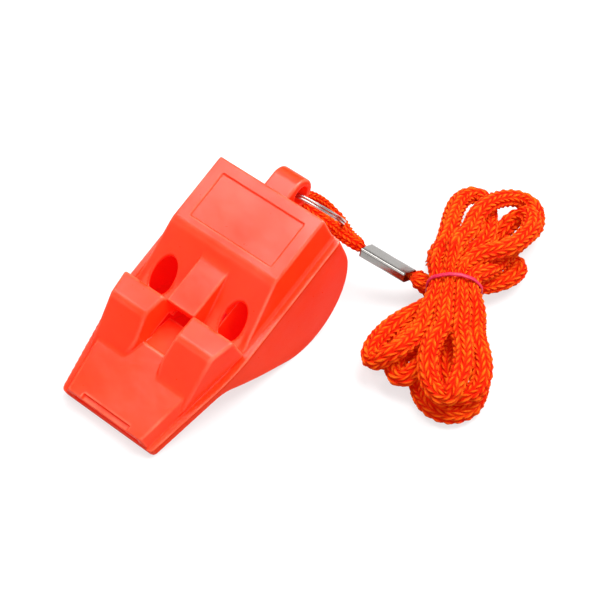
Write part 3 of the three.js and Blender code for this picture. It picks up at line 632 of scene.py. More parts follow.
def knit_material():
    """Dyed yarn, from the same V stitches as the relief: bar and dipped ends of each leg.

    Painted shade in the gaps and painted highlight on the bars, with plies as a sine across
    each bar in both colour and bump, a chance tone for each leg, soft patches, and fibres in the
    bump. A weak red emission paints a glow into the yarn.
    """
    # The red emission is a painted glow that lifts the yarn's shaded gaps.
    material, tree, shader = new_material(
        "knit_orange", Roughness=0.65, Specular_IOR_Level=0.06, Subsurface_Weight=0.2,
        Subsurface_Scale=0.0006, Subsurface_Radius=(1.0, 0.35, 0.1),
        Emission_Color=(1.0, 0.02, 0.0), Emission_Strength=0.12,
    )
    chart = tree.nodes.new("ShaderNodeUVMap").outputs[0]
    along, round_cord, _ = add_node(tree, "ShaderNodeSeparateXYZ", {0: chart}).values()
    wale = calc(tree, "FRACT", calc(tree, "MULTIPLY", round_cord, WALES))
    across = calc(tree, "ABSOLUTE", calc(tree, "SUBTRACT", wale, 0.5))
    across = calc(tree, "MULTIPLY", across, 2.0)
    shifted = calc(tree, "SUBTRACT", along, calc(tree, "MULTIPLY", across, LEAN))
    phase = calc(tree, "FRACT", shifted)
    middle = calc(tree, "MULTIPLY_ADD", phase, 2.0, -1.0)
    bar = calc(tree, "SUBTRACT", 1.0, calc(tree, "MULTIPLY", middle, middle), clamp=True)
    from_end = calc(tree, "ABSOLUTE", calc(tree, "MULTIPLY_ADD", across, 2.0, -1.0))
    ends = calc(tree, "SUBTRACT", 1.0, calc(tree, "POWER", from_end, 2.0))
    height = calc(tree, "MULTIPLY", bar, calc(tree, "MULTIPLY_ADD", ends, LEG_RISE, LEG_FOOT))
    slant = calc(tree, "MULTIPLY", across, PLIES_SLANT)
    plies = calc(tree, "SINE", calc(tree, "MULTIPLY_ADD", phase, PLIES, slant))
    leg_row = calc(tree, "FLOOR", shifted)
    leg_side = calc(tree, "FLOOR", calc(tree, "MULTIPLY", round_cord, 2.0 * WALES))
    leg = add_node(tree, "ShaderNodeCombineXYZ", {0: leg_row, 1: leg_side})[0]
    chance = add_node(tree, "ShaderNodeTexWhiteNoise", {"Vector": leg})["Value"]
    chance = map_range(tree, chance, To_Min=-0.32, To_Max=0.24)
    patches = grain(tree, 260, low=-0.35, high=0.35)["Level"]
    # Painted shade and highlight from the stitch height, plus random tones for each leg and in
    # patches.
    painted_light_and_tone = calc(tree, "POWER", height, YARN_SHADE_CONTRAST)
    painted_light_and_tone = calc(tree, "ADD", calc(tree, "MULTIPLY_ADD", plies, PLIES_PAINTED_SHADE, painted_light_and_tone), patches)
    painted_light_and_tone = calc(tree, "ADD", painted_light_and_tone, chance, clamp=True)
    feed(tree, shader.inputs["Base Color"], mix_colour(tree, painted_light_and_tone, YARN_PAINTED_SHADE, YARN_PAINTED_HIGHLIGHT))
    fibres = grain(tree, 5200, 3.0, 0.6)["Grain"]
    yarn = calc(tree, "MULTIPLY_ADD", plies, PLIES_HEIGHT, height)
    yarn = calc(tree, "MULTIPLY_ADD", fibres, FIBRE_HEIGHT, yarn)
    add_bump(tree, shader, yarn, YARN_BUMP, 1.0)
    return material


knit = knit_material()
hank_points = hank_route()
for middle, reach in CLOSE_STRANDS:
    hank_points = close_gap(hank_points, middle, reach)
hank, hank_path, hank_length = knit_tube(
    "neck_cord_hank", hank_points, HANK_CORD_RADIUS, HANK_CORD_STEP, knit, BAND_DRAW,
)
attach(hank, "ring_and_cord")
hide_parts("cord_hank")

small, small_path, small_length = knit_tube(
    "neck_cord_small_loop", pinch(loop_route()), LOOP_CORD_RADIUS, LOOP_CORD_STEP, knit,
)
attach(small, "ring_and_cord")
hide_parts("cord_ring_loop")


# ---------------------------------------------------------------- crimp ferrule
# Thin steel sheet, plated bright, wrapped round the four cord ends and pressed flat so
# that it grips them. Both its mouths are left open and a little rounded.
FERRULE_WIDE = 5.5
FERRULE_THICK = 2.2
FERRULE_WALL = 0.28
FERRULE_CORNER = 7.0
FERRULE_SKEW = (-0.5, 0.35)
FERRULE_AROUND = 96
PLATE_COLOUR = (0.335, 0.32, 0.305)
PLATE_STREAKS = 2600
PLATE_ROUGHNESS = 0.10
SMUDGE = 0.86
SMUDGE_SCALE = 300
STREAK_GLOSS = 0.12
STREAK_BUMP = 0.00002

# The wall's section from the front mouth to the back one and back inside, as distance
# along the ferrule and inset from its outside.
ferrule_wall = np.array([
    (0.05, 0.16), (0.0, 0.08), (0.05, 0), (0.4, 0), (1.2, 0),
    (ferrule_span * 0.3, 0), (ferrule_span * 0.5, 0.03), (ferrule_span * 0.7, 0),
    (ferrule_span - 1.2, 0), (ferrule_span - 0.4, 0), (ferrule_span - 0.05, 0),
    (ferrule_span, 0.08), (ferrule_span - 0.05, 0.16),
    (ferrule_span - 0.08, FERRULE_WALL), (ferrule_span - 0.6, FERRULE_WALL),
    (ferrule_span * 0.5, FERRULE_WALL), (0.6, FERRULE_WALL), (0.08, FERRULE_WALL),
])


def pressed_outline(wide, thick):
    """Superellipse |x / half wide|^p + |y / half thick|^p = 1 by angle, with p the corner."""
    p = FERRULE_CORNER
    angle = np.linspace(0, 2 * math.pi, FERRULE_AROUND, endpoint=False)
    x, y = np.cos(angle), np.sin(angle)
    size = (np.abs(x / (wide / 2)) ** p + np.abs(y / (thick / 2)) ** p) ** (-1 / p)
    return x * size, y * size


# Metal wear, shared by plate and wire: fine streaks in the gloss, and smudges that
# darken the colour.
wear_group, given, result = new_group(
    "metal_wear",
    {"Colour": COLOUR, "Smudge Colour": COLOUR, "Roughness": NUMBER, "Streak Scale": NUMBER},
    {"Colour": COLOUR, "Roughness": NUMBER, "Streaks": NUMBER},
)
streaks = noise(wear_group, given["Streak Scale"], 3.0, 0.6)
smudges = noise(wear_group, SMUDGE_SCALE)
shade = mix_colour(wear_group, smudges, given["Smudge Colour"], given["Colour"])
feed(wear_group, result["Colour"], shade)
gloss = calc(wear_group, "MULTIPLY_ADD", streaks, STREAK_GLOSS, given["Roughness"])
feed(wear_group, result["Roughness"], gloss)
feed(wear_group, result["Streaks"], streaks)


def metal_material(name, colour, roughness, streak_scale):
    """Bright metal whose colour, roughness and fine bump come from the wear group."""
    material, tree, shader = new_material(name, Metallic=1.0)
    wear = use_group(
        tree, wear_group, Colour=colour, Smudge_Colour=tuple(SMUDGE * c for c in colour),
        Roughness=roughness, Streak_Scale=streak_scale,
    )
    feed(tree, shader.inputs["Base Color"], wear["Colour"])
    feed(tree, shader.inputs["Roughness"], wear["Roughness"])
    add_bump(tree, shader, wear["Streaks"], STREAK_BUMP, 0.35)
    return material


plate = metal_material("plated_sheet", PLATE_COLOUR, PLATE_ROUGHNESS, PLATE_STREAKS)
along, inset = ferrule_wall[:, :1], ferrule_wall[:, 1:]
wide, thick = pressed_outline(FERRULE_WIDE - 2 * inset, FERRULE_THICK - 2 * inset)
skew = wide * FERRULE_SKEW[0] + thick * FERRULE_SKEW[1]
ferrule_skin = (
    ferrule_seat + (along + skew)[..., None] * ferrule_along
    + wide[..., None] * ferrule_wide + thick[..., None] * ferrule_flat
)
ferrule = add_mesh(
    "crimp_ferrule", metres(ferrule_skin.reshape(-1, 3)),
    grid_faces(len(ferrule_wall), FERRULE_AROUND, closed_rows=True), plate,
)
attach(ferrule, "ring_and_cord")
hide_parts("ferrule")


# ---------------------------------------------------------------- split ring
# Spring steel wire, nickelled, rolled a little flat and wound in two turns side by side,
# with a step between them where it is sprung open to go on the lug and the cord.
WIRE_WIDE = 0.9
WIRE_THICK = 0.55
WIRE_STEP = 0.66
WIRE_TURN = 0.985
WIRE_START = math.pi * 0.9
WIRE_POINTS = 321
WIRE_AROUND = 20
WIRE_SQUARE_WIDE, WIRE_SQUARE_THICK = 0.55, 0.7
WIRE_RAMP = 0.1
WIRE_TIP, WIRE_TIP_THICK = 0.012, 0.25
WIRE_COLOUR = (0.50, 0.48, 0.46)
WIRE_ROUGHNESS = 0.12
WIRE_STREAKS = 4200
RING_SEAT = 0.6
RING_SHIFT = -0.5


def ring_wire():
    """Helix of two turns in the ring's plane, closed to a point at both ends.

    The section is a superellipse of powers of cosine and sine, the step between the
    turns is a short ramp at their middle, and the ends taper.
    """
    turns = np.r_[-1, np.linspace(-1, 1, WIRE_POINTS), 1]
    angle = turns * 2 * math.pi * WIRE_TURN + WIRE_START
    rise = np.clip(turns / WIRE_RAMP, -1, 1) * WIRE_STEP / 2
    taper = np.clip((1 - np.abs(turns)) / WIRE_TIP, WIRE_TIP_THICK, 1.0)
    taper[[0, -1]] = 0
    section = np.linspace(0, 2 * math.pi, WIRE_AROUND, endpoint=False)
    cosine, sine = np.cos(section), np.sin(section)
    radial = np.sign(cosine) * np.abs(cosine) ** WIRE_SQUARE_WIDE * WIRE_WIDE / 2
    axial = np.sign(sine) * np.abs(sine) ** WIRE_SQUARE_THICK * WIRE_THICK / 2
    radii = RING_RADIUS + radial[None, :] * taper[:, None]
    return ring_point(
        radii * np.cos(angle)[:, None],
        RING_RADIUS + RING_SEAT + radii * np.sin(angle)[:, None],
        RING_SHIFT + rise[:, None] + axial[None, :] * taper[:, None],
    )


steel = metal_material("nickel_wire", WIRE_COLOUR, WIRE_ROUGHNESS, WIRE_STREAKS)
ring = add_mesh(
    "split_ring_wire", metres(ring_wire().reshape(-1, 3)),
    grid_faces(WIRE_POINTS + 2, WIRE_AROUND)[:, ::-1], steel,
)
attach(ring, "ring_and_cord")
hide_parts("split_ring")


# ---------------------------------------------------------------- elastic band
# Thin magenta elastic, extruded with fine ribs, stretched round the waist of the hank.
# It holds all the runs of the cord together.
BAND_REACH = 2.3
BAND_ARCH = 0.86
BAND_WIDE = 1.0
BAND_THICK = 0.6
BAND_SEAT = 0.5
BAND_SWAY, BAND_SWAY_PHASE = 0.35, 0.6
BAND_POINTS = 160
BAND_AROUND = 12
ELASTIC_DARK = (0.50, 0.004, 0.04)
ELASTIC_LIGHT = (0.74, 0.012, 0.085)
RIB_SCALE, RIB_BUMP = 2400, 0.0001


def band_loop():
    """Round of the waist's three layers, with an oval section carried along it.

    The round is a rectangle of corners plus an ellipse by angle, smoothed three times by
    (1, 2, 1) / 4, and sways along the waist by a sine of twice the angle.
    """
    angle = np.linspace(0, 2 * math.pi, BAND_POINTS, endpoint=False)
    corner = np.stack([
        np.where(np.cos(angle) >= 0, 1, -1) * 1.5 * WAIST_PITCH,
        np.where(np.sin(angle) >= 0, 2 * WAIST_PITCH, 0) + WAIST_FLOOR,
    ], axis=1)
    line = corner + BAND_REACH * np.stack([np.cos(angle), BAND_ARCH * np.sin(angle)], axis=1)
    for _ in range(3):
        line = 0.5 * line + 0.25 * (np.roll(line, 1, 0) + np.roll(line, -1, 0))
    out = np.roll(line, -1, 0) - np.roll(line, 1, 0)
    out = unit(np.stack([out[:, 1], -out[:, 0]], axis=1))
    around = np.linspace(0, 2 * math.pi, BAND_AROUND, endpoint=False)
    sway = BAND_SEAT + BAND_SWAY * np.sin(2 * angle + BAND_SWAY_PHASE)
    across_up = line[:, None] + out[:, None] * (BAND_THICK / 2 * np.cos(around))[:, None]
    along = sway[:, None] + BAND_WIDE / 2 * np.sin(around)
    level = WAIST + across_up[..., :1] * waist_side + along[..., None] * waist_run
    return gather(np.concatenate([level, across_up[..., 1:]], axis=-1))


elastic, tree, shader = new_material("elastic_magenta", Roughness=0.42, Specular_IOR_Level=0.4)
ribs = grain(tree, RIB_SCALE)["Grain"]
feed(tree, shader.inputs["Base Color"], mix_colour(tree, ribs, ELASTIC_DARK, ELASTIC_LIGHT))
add_bump(tree, shader, ribs, RIB_BUMP, 0.5)
band = add_mesh(
    "hank_tie_band", metres(band_loop().reshape(-1, 3)),
    grid_faces(BAND_POINTS, BAND_AROUND, closed_rows=True)[:, ::-1], elastic,
)
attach(band, "ring_and_cord")
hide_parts("hank_band")


# ---------------------------------------------------------------- lower body
# Injection-moulded shell of fluorescent orange plastic: mouthpiece floor, ramp, barrel
# and partitions in one piece, open at the seam, where the cover is welded on.

# Both shells are given as signed distances in the whistle's frame, negative inside, so
# that edges are rounded and inner corners filleted as on a moulding.
TIP_HALF = 13.3
BODY_HALF = 17.95
TAPER_END = 24.3
WALL = 1.5
MOUTH_BOTTOM = -1.9
MOUTH_FLOOR = -0.9
SLOT_HALF = 9.6
SLOT_REAR = 3.0
RAMP = math.radians(41.4)
PARTITION = 6.72
PARTITION_HALF = 0.5
PARTITION_FRONT = 20


def half_at(y, inset=0.0):
    """Half width of the plan: a straight taper from the tip, then constant, less an inset."""
    share = np.minimum(y, TAPER_END) / TAPER_END
    return TIP_HALF + (BODY_HALF - TIP_HALF) * share - inset


def rounded(distances, radius):
    """Common part of half spaces with round edges.

    Each distance is raised by the radius; the result is the length of the positive ones,
    or the greatest where none is positive, less the radius.
    """
    raised = [d + radius for d in distances]
    outside = np.sqrt(sum(np.maximum(d, 0) ** 2 for d in raised))
    return outside + np.minimum(np.maximum.reduce(raised), 0) - radius


def blend_min(a, b, k):
    """Union with a fillet: the smaller distance less (k - |a - b|)^2 / 4k where near."""
    h = np.maximum(k - np.abs(a - b), 0)
    return np.minimum(a, b) - h * h / (4 * k)


def blend_max(a, b, k):
    """Common part with an eased edge: the union of the outsides, turned round."""
    return -blend_min(-a, -b, k)


def plan(p, inset, front, rear, radius):
    """Tapering plan outline: distances to its tapered and straight sides and its ends."""
    x = np.abs(p[:, 0])
    slope = (BODY_HALF - TIP_HALF) / TAPER_END
    taper = (x - TIP_HALF - slope * p[:, 1]) / math.hypot(1, slope) + inset
    sides = blend_max(taper, x - BODY_HALF + inset, 1.2)
    return rounded([sides, front - p[:, 1], p[:, 1] - rear], radius)


def belly(p, inset, mouth_bottom):
    """Side profile: a circle behind, its tangent ramp in front, and the mouthpiece floor."""
    u = p[:, 1] - BARREL[0]
    v = p[:, 2] - BARREL[1]
    ahead = -u * math.cos(RAMP) + v * math.sin(RAMP)
    ramp = -u * math.sin(RAMP) - v * math.cos(RAMP)
    barrel = np.where(v > 0, u, np.hypot(u, v))
    body = np.where(ahead > 0, ramp, barrel) - BARREL_RADIUS + inset
    return blend_min(body, mouth_bottom - p[:, 2], 1.6)


def body_distance(p, seam=0.0):
    """Outside in plan and side profile below the seam, less its hollow, plus partitions."""
    outline = plan(p, 0, 0, BODY_LENGTH + 0.001, 1.0)
    shell = rounded([belly(p, 0, MOUTH_BOTTOM), outline], 0.35)
    shell = np.maximum(shell, p[:, 2] - seam)
    inner_plan = plan(p, WALL, WALL, BODY_LENGTH - WALL, 0.8)
    hollow = rounded([belly(p, WALL, MOUTH_FLOOR), inner_plan], 0.4)
    slot = rounded([
        np.abs(p[:, 0]) - SLOT_HALF, p[:, 1] - SLOT_REAR, MOUTH_FLOOR - p[:, 2],
    ], 0.3)
    shell = blend_max(shell, -np.minimum(hollow, slot), 0.3)
    partitions = rounded([
        np.abs(np.abs(p[:, 0]) - PARTITION) - PARTITION_HALF,
        belly(p, 0.6, MOUTH_BOTTOM + 0.4), PARTITION_FRONT - p[:, 1], p[:, 2] + 0.1,
    ], 0.1)
    return np.minimum(shell, partitions)


# Steps of the work on a distance: parts in which the grid is read, turns in which the
# points are moved onto the surface, half the step of a slope, and the furthest move.
GRID_PARTS = 12
SURFACE_TURNS = 3
SLOPE_STEP = 0.02
FURTHEST_MOVE = 0.3


def slope_of(distance, points, step, *seam):
    """Slope by axis: (d(p + step) - d(p - step)) / (2 step)."""
    sides = [
        distance(points + move, *seam) - distance(points - move, *seam)
        for move in step * np.eye(3)
    ]
    return np.stack(sides, axis=1) / (2 * step)


def surface(distance, low, high, cell, beyond):
    """Surface net of a distance's zero level, with normals of the shape without its seam.

    A cell that the level crosses has one point, the mean of the crossings on its edges,
    and each crossed edge of the grid has a quad of the four cells round it. The points
    then move against the slope by distance / slope^2.
    """
    axes = [np.arange(low[k], high[k] + cell, cell) for k in range(3)]
    shape = tuple(len(a) for a in axes)
    grid = np.stack(np.meshgrid(*axes, indexing="ij"), axis=-1).reshape(-1, 3)
    value = [distance(part) for part in np.array_split(grid, GRID_PARTS)]
    value = np.concatenate(value).reshape(shape)
    inside = value < 0
    total = np.zeros((*(n - 1 for n in shape), 3))
    weight = np.zeros(tuple(n - 1 for n in shape))
    crossings = []
    for axis in range(3):
        one, two = [k for k in range(3) if k != axis]
        a = np.take(value, range(shape[axis] - 1), axis=axis)
        b = np.take(value, range(1, shape[axis]), axis=axis)
        cross = (a < 0) != (b < 0)
        index = np.argwhere(cross)
        point = index.astype(float)
        point[:, axis] += a[cross] / (a[cross] - b[cross])
        crossings.append((index, inside[tuple(index.T)]))
        for back in ((0, 0), (0, 1), (1, 0), (1, 1)):
            box = index.copy()
            box[:, [one, two]] -= back
            good = np.all((box >= 0) & (box < np.array(shape) - 1), axis=1)
            np.add.at(total, tuple(box[good].T), point[good])
            np.add.at(weight, tuple(box[good].T), 1)
    used = weight > 0
    number = np.full(weight.shape, -1)
    number[used] = np.arange(used.sum())
    vertices = total[used] / weight[used][:, None] * cell + np.array(low)
    faces = []
    for axis, (index, within) in enumerate(crossings):
        one, two = [k for k in range(3) if k != axis]
        good = (index[:, one] > 0) & (index[:, two] > 0)
        good &= (index[:, one] < shape[one] - 1) & (index[:, two] < shape[two] - 1)
        index, within = index[good], within[good]
        corners = []
        for back in ((1, 1), (0, 1), (0, 0), (1, 0)):
            box = index.copy()
            box[:, [one, two]] -= back
            corners.append(number[tuple(box.T)])
        quad = np.stack(corners, axis=1)
        keep = within if axis != 1 else ~within
        quad[~keep] = quad[~keep][:, ::-1]
        faces.append(quad)
    for _ in range(SURFACE_TURNS):
        slope = slope_of(distance, vertices, SLOPE_STEP)
        size = np.maximum((slope**2).sum(axis=1, keepdims=True), 0.05)
        move = np.clip(distance(vertices)[:, None] / size, -FURTHEST_MOVE, FURTHEST_MOVE)
        vertices = vertices - move * slope
    slope = slope_of(distance, vertices, SLOPE_STEP, beyond)
    return vertices, np.vstack(faces), unit(slope + 1e-9)


def point_values(piece, name, values):
    """Attribute with one number for each point of a piece."""
    layer = piece.data.attributes.new(name, "FLOAT", "POINT")
    layer.data.foreach_set("value", values.astype(np.float32))


# Painted highlight on the mouldings' sharp outer edges, found from the bend of the distance.
EDGE_STEP = 0.45
EDGE_LEAST, EDGE_FADE = 0.25, 1.5


def painted_edge_highlight(distance, points, seam):
    """Painted highlight on sharp outer edges, 0 to 1, by the sum over the axes of d(p + h) + d(p
    - h) - 2 d(p).
    """
    bend = -6 * distance(points, seam)
    for move in EDGE_STEP * np.eye(3):
        bend += distance(points + move, seam) + distance(points - move, seam)
    return np.clip((bend / EDGE_STEP**2 - EDGE_LEAST) / EDGE_FADE, 0, 1)


def moulded_shell(name, distance, low, high, cell, beyond, material):
    """Piece from a distance of the whistle's frame, laid on the table, and its points."""
    points, faces, normals = surface(distance, low, high, cell, beyond)
    turned = table(points + normals) - table(points)
    return add_mesh(name, metres(table(points)), faces, material, turned), points


PLASTIC_COLOUR = (0.96, 0.038, 0.0045)
PLASTIC_PALE = (0.98, 1.25 * 0.038, 1.4 * 0.0045)
# Colour of the painted highlight on sharp outer edges.
PLASTIC_PAINTED_HIGHLIGHT = (1.0, 0.22, 0.12)
# Colour of the painted shade inside the sound holes.
PLASTIC_PAINTED_SHADE = (0.72, 0.008, 0.020)
RIPPLE_BUMP, FINE_BUMP = 0.0004, 0.00002


def plastic_material():
    """Glossy, slightly translucent plastic with a fluorescent dye; a weak red emission paints a
    glow into it.

    The colour is clouded by grain, with a painted highlight on sharp outer edges and painted
    shade inside the sound holes. The gloss falls with the angle of view, and rises from the tip
    to the rear.
    """
    # The red emission is a painted glow that lifts the shaded sides and the sound holes.
    material, tree, shader = new_material(
        "orange_plastic", IOR=1.5, Subsurface_Weight=0.3, Subsurface_Scale=0.003,
        Subsurface_Radius=(1.0, 0.2, 0.1), Emission_Color=(1.0, 0.01, 0.008),
        Emission_Strength=0.15,
    )
    facing = add_node(tree, "ShaderNodeLayerWeight", {"Blend": 0.5})["Facing"]
    gloss = map_range(tree, facing, From_Min=0.18, From_Max=0.5, To_Min=0.34, To_Max=0.03)
    place = tree.nodes.new("ShaderNodeTexCoord").outputs["Object"]
    along = add_node(tree, "ShaderNodeSeparateXYZ", {0: place})[1]
    polish = map_range(tree, along, From_Min=-0.02, From_Max=0.025, To_Min=0.93, To_Max=1.5)
    patchy = map_range(tree, noise(tree, 55), To_Min=0.1, To_Max=1.9)
    level = calc(tree, "MULTIPLY", gloss, calc(tree, "MULTIPLY", polish, patchy))
    feed(tree, shader.inputs["Specular IOR Level"], level)
    cloud = grain(tree, 75, 3.0, 0.55, -0.9, 2.1)["Level"]
    # Masks of the painted shade in the sound holes and the painted edge highlight, read from
    # point attributes.
    inner = add_node(tree, "ShaderNodeAttribute", {}, attribute_name="painted_hole_shade")["Fac"]
    edge = add_node(tree, "ShaderNodeAttribute", {}, attribute_name="painted_edge_highlight")["Fac"]
    painted_highlight = calc(tree, "MULTIPLY", edge, grain(tree, 120, low=-0.3, high=1.0)["Level"])
    shade = mix_colour(tree, cloud, PLASTIC_COLOUR, PLASTIC_PALE)
    # Painted shade inside the sound holes, then the painted edge highlight on top.
    shade = mix_colour(tree, inner, shade, PLASTIC_PAINTED_SHADE)
    shade = mix_colour(tree, painted_highlight, shade, PLASTIC_PAINTED_HIGHLIGHT)
    feed(tree, shader.inputs["Base Color"], shade)
    fine = grain(tree, 900, 3.0, low=0.25, high=0.34)
    feed(tree, shader.inputs["Roughness"], fine["Level"])
    ripple = add_bump(tree, shader, grain(tree, 170)["Grain"], RIPPLE_BUMP, 0.35)
    add_bump(tree, shader, fine["Grain"], FINE_BUMP, 0.2, Normal=ripple)
    return material


NO_SEAM = 9.0
BODY_CELL, BODY_CELL_QUICK = 0.34, 0.6
plastic = plastic_material()
body, points = moulded_shell(
    "whistle_body", body_distance, (-18.6, -0.7, -20.0), (18.6, 61.8, 0.6),
    BODY_CELL, NO_SEAM, plastic,
)
# Painted highlight on the body's sharp outer edges.
point_values(body, "painted_edge_highlight", painted_edge_highlight(body_distance, points, NO_SEAM))
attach(body, "whistle")
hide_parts("body_shell")


# ---------------------------------------------------------------- cover
# Second moulding of the same plastic: mouthpiece top, hollow blocks beside the air
# window, rib, slanted face with two sound holes, deck with a shallow recess, and lug.
# It is welded to the body by the thin flange on which it stands.
FLANGE_TOP = 0.6
MOUTH_TOP = 3.2
MOUTH_ROOF = 2.0
MOUTH_FOOT_FRONT, MOUTH_TOP_FRONT = 0.15, 0.6
MOUTH_FOOT_INSET, MOUTH_TOP_INSET = 0.45, 2.7
REAR_FOOT_INSET, LIP_INSET = 0.6, 3.15
SEAM_BELOW = -1
BLOCK_FRONT, BLOCK_CREST, BLOCK_REAR = 9.2, 22.7, 28.5
BLOCK_FOOT, BLOCK_TOP, BLOCK_REAR_TOP = 1.0, 7.8, 6.8
BLOCK_INNER, BLOCK_CREST_INNER, BLOCK_TOP_INNER = 2.7, 4.5, 4.4
BLOCK_REAR_HALF, BLOCK_TOP_HALF = 16.9, 15.9
BLOCK_FOOT_INSET, BLOCK_CREST_INSET = 1.4, 2.5
FLARE_X, FLARE_Y = 4.45, 13.9
FLARE_BY_Y, FLARE_BY_Z, FLARE_SLOPE = 0.345, 0.26, 0.91
WINDOW_LIP = 18.6
WINDOW_REAR = 28.3
WINDOW_HALF, WINDOW_TOP_HALF = 2.7, 3.8
BASE_INSET, BASE_FRONT, BASE_REAR, BASE_TOP = 1.9, 6, BODY_LENGTH - 0.6, 0.8
RIB_HALF, RIB_TOP_HALF, RIB_TOP = 4.3, 3.9, 5.65
FACE_FRONT = 27.8
DECK_HALF, DECK_TOP_HALF = 16.0, 15.0
DECK_TOP = 7.0
DECK_FRONT = 44.0
DECK_REAR, DECK_TOP_REAR = BODY_LENGTH - 0.1, BODY_LENGTH + 0.3
PANEL_HALF, PANEL_FRONT, PANEL_REAR, PANEL_DEPTH = 11.7, 46.6, 58.3, 0.24
TIP_RECESS_HALF, TIP_RECESS_REAR, TIP_RECESS_DEPTH = 6.8, 1.9, 0.6
HOLE_X, HOLE_Y = 10.2, 33.0
HOLE_HALF, HOLE_LONG_HALF = 2.9, 4.4
HOLE_SLOPE = 3.2
HOLE_BOTTOM = -2
LUG_Z = 0.9
LUG_RADIUS = 3.7
LUG_HALF = 3.5
BORE_RADIUS = 2.3
LUG_ROOT = BODY_LENGTH - 2.05
AIR_RAMP_HALF = 3.9
AIR_RAMP_FRONT, AIR_RAMP_REAR = (17.4, 1.6), (25.7, -1.2)
AIR_RAMP_LIP, AIR_RAMP_END = (WINDOW_LIP - 0.2, 2.7), (26.6, -0.3)
# Share by which the painted edge highlight is dimmed round the sound holes.
HOLE_HIGHLIGHT_DIMMING = 0.85
COVER_CELL, COVER_CELL_QUICK = 0.3, 0.5

# The cover's hollows, open at the seam: air way, sound chamber, blocks, and the way from
# the air way to the window.
AIRWAY_FRONT, AIRWAY_REAR = 2, BLOCK_REAR - WALL
AIRWAY_HALF, AIRWAY_REAR_HALF = 10.9, 15.2
AIRWAY_TOP_HALF, AIRWAY_REAR_TOP_HALF = 9.4, 14.4
CHAMBER_FRONT, CHAMBER_TOP_FRONT = 24.8, DECK_FRONT + 1.8
CHAMBER_REAR = BODY_LENGTH - WALL
BLOCK_HOLLOW_FOOT = [
    (5.4, 17, SEAM_BELOW), (13.1, 17, SEAM_BELOW),
    (14.9, AIRWAY_REAR, SEAM_BELOW), (5.4, AIRWAY_REAR, SEAM_BELOW),
]
BLOCK_HOLLOW_TOP = [
    (6, 22.9, 6.1), (13, 22.9, 6.1), (13.9, AIRWAY_REAR, 5.3), (6, AIRWAY_REAR, 5.3),
]
WINDOW_WAY_HALF, WINDOW_WAY_TOP = 2.9, 1.4
WINDOW_WAY_FRONT, WINDOW_WAY_REAR = 24, 32


def hexa(p, lower, upper, radius):
    """Rounded solid between four lower and four upper corners.

    Each face's plane has the unit cross product of two of its edges as normal, turned
    away from the middle of the corners.
    """
    corners = np.array([*lower, *upper], float)
    middle = corners.mean(axis=0)
    distances = []
    for a, b, c in ((0, 1, 2), (4, 5, 6), (0, 1, 5), (1, 2, 6), (2, 3, 7), (3, 0, 4)):
        normal = unit(np.cross(corners[b] - corners[a], corners[c] - corners[a]))
        if normal @ (middle - corners[a]) > 0:
            normal = -normal
        distances.append(p @ normal - normal @ corners[a])
    return rounded(distances, radius)


def wedge(p, front_foot, rear_foot, front_top, rear_top, radius):
    """Rounded solid symmetric across the width, each edge given as (y, z, half width)."""
    corners = []
    for front, rear in ((front_foot, rear_foot), (front_top, rear_top)):
        corners += [(-front[2], *front[:2]), (front[2], *front[:2])]
        corners += [(rear[2], *rear[:2]), (-rear[2], *rear[:2])]
    return hexa(p, corners[:4], corners[4:], radius)


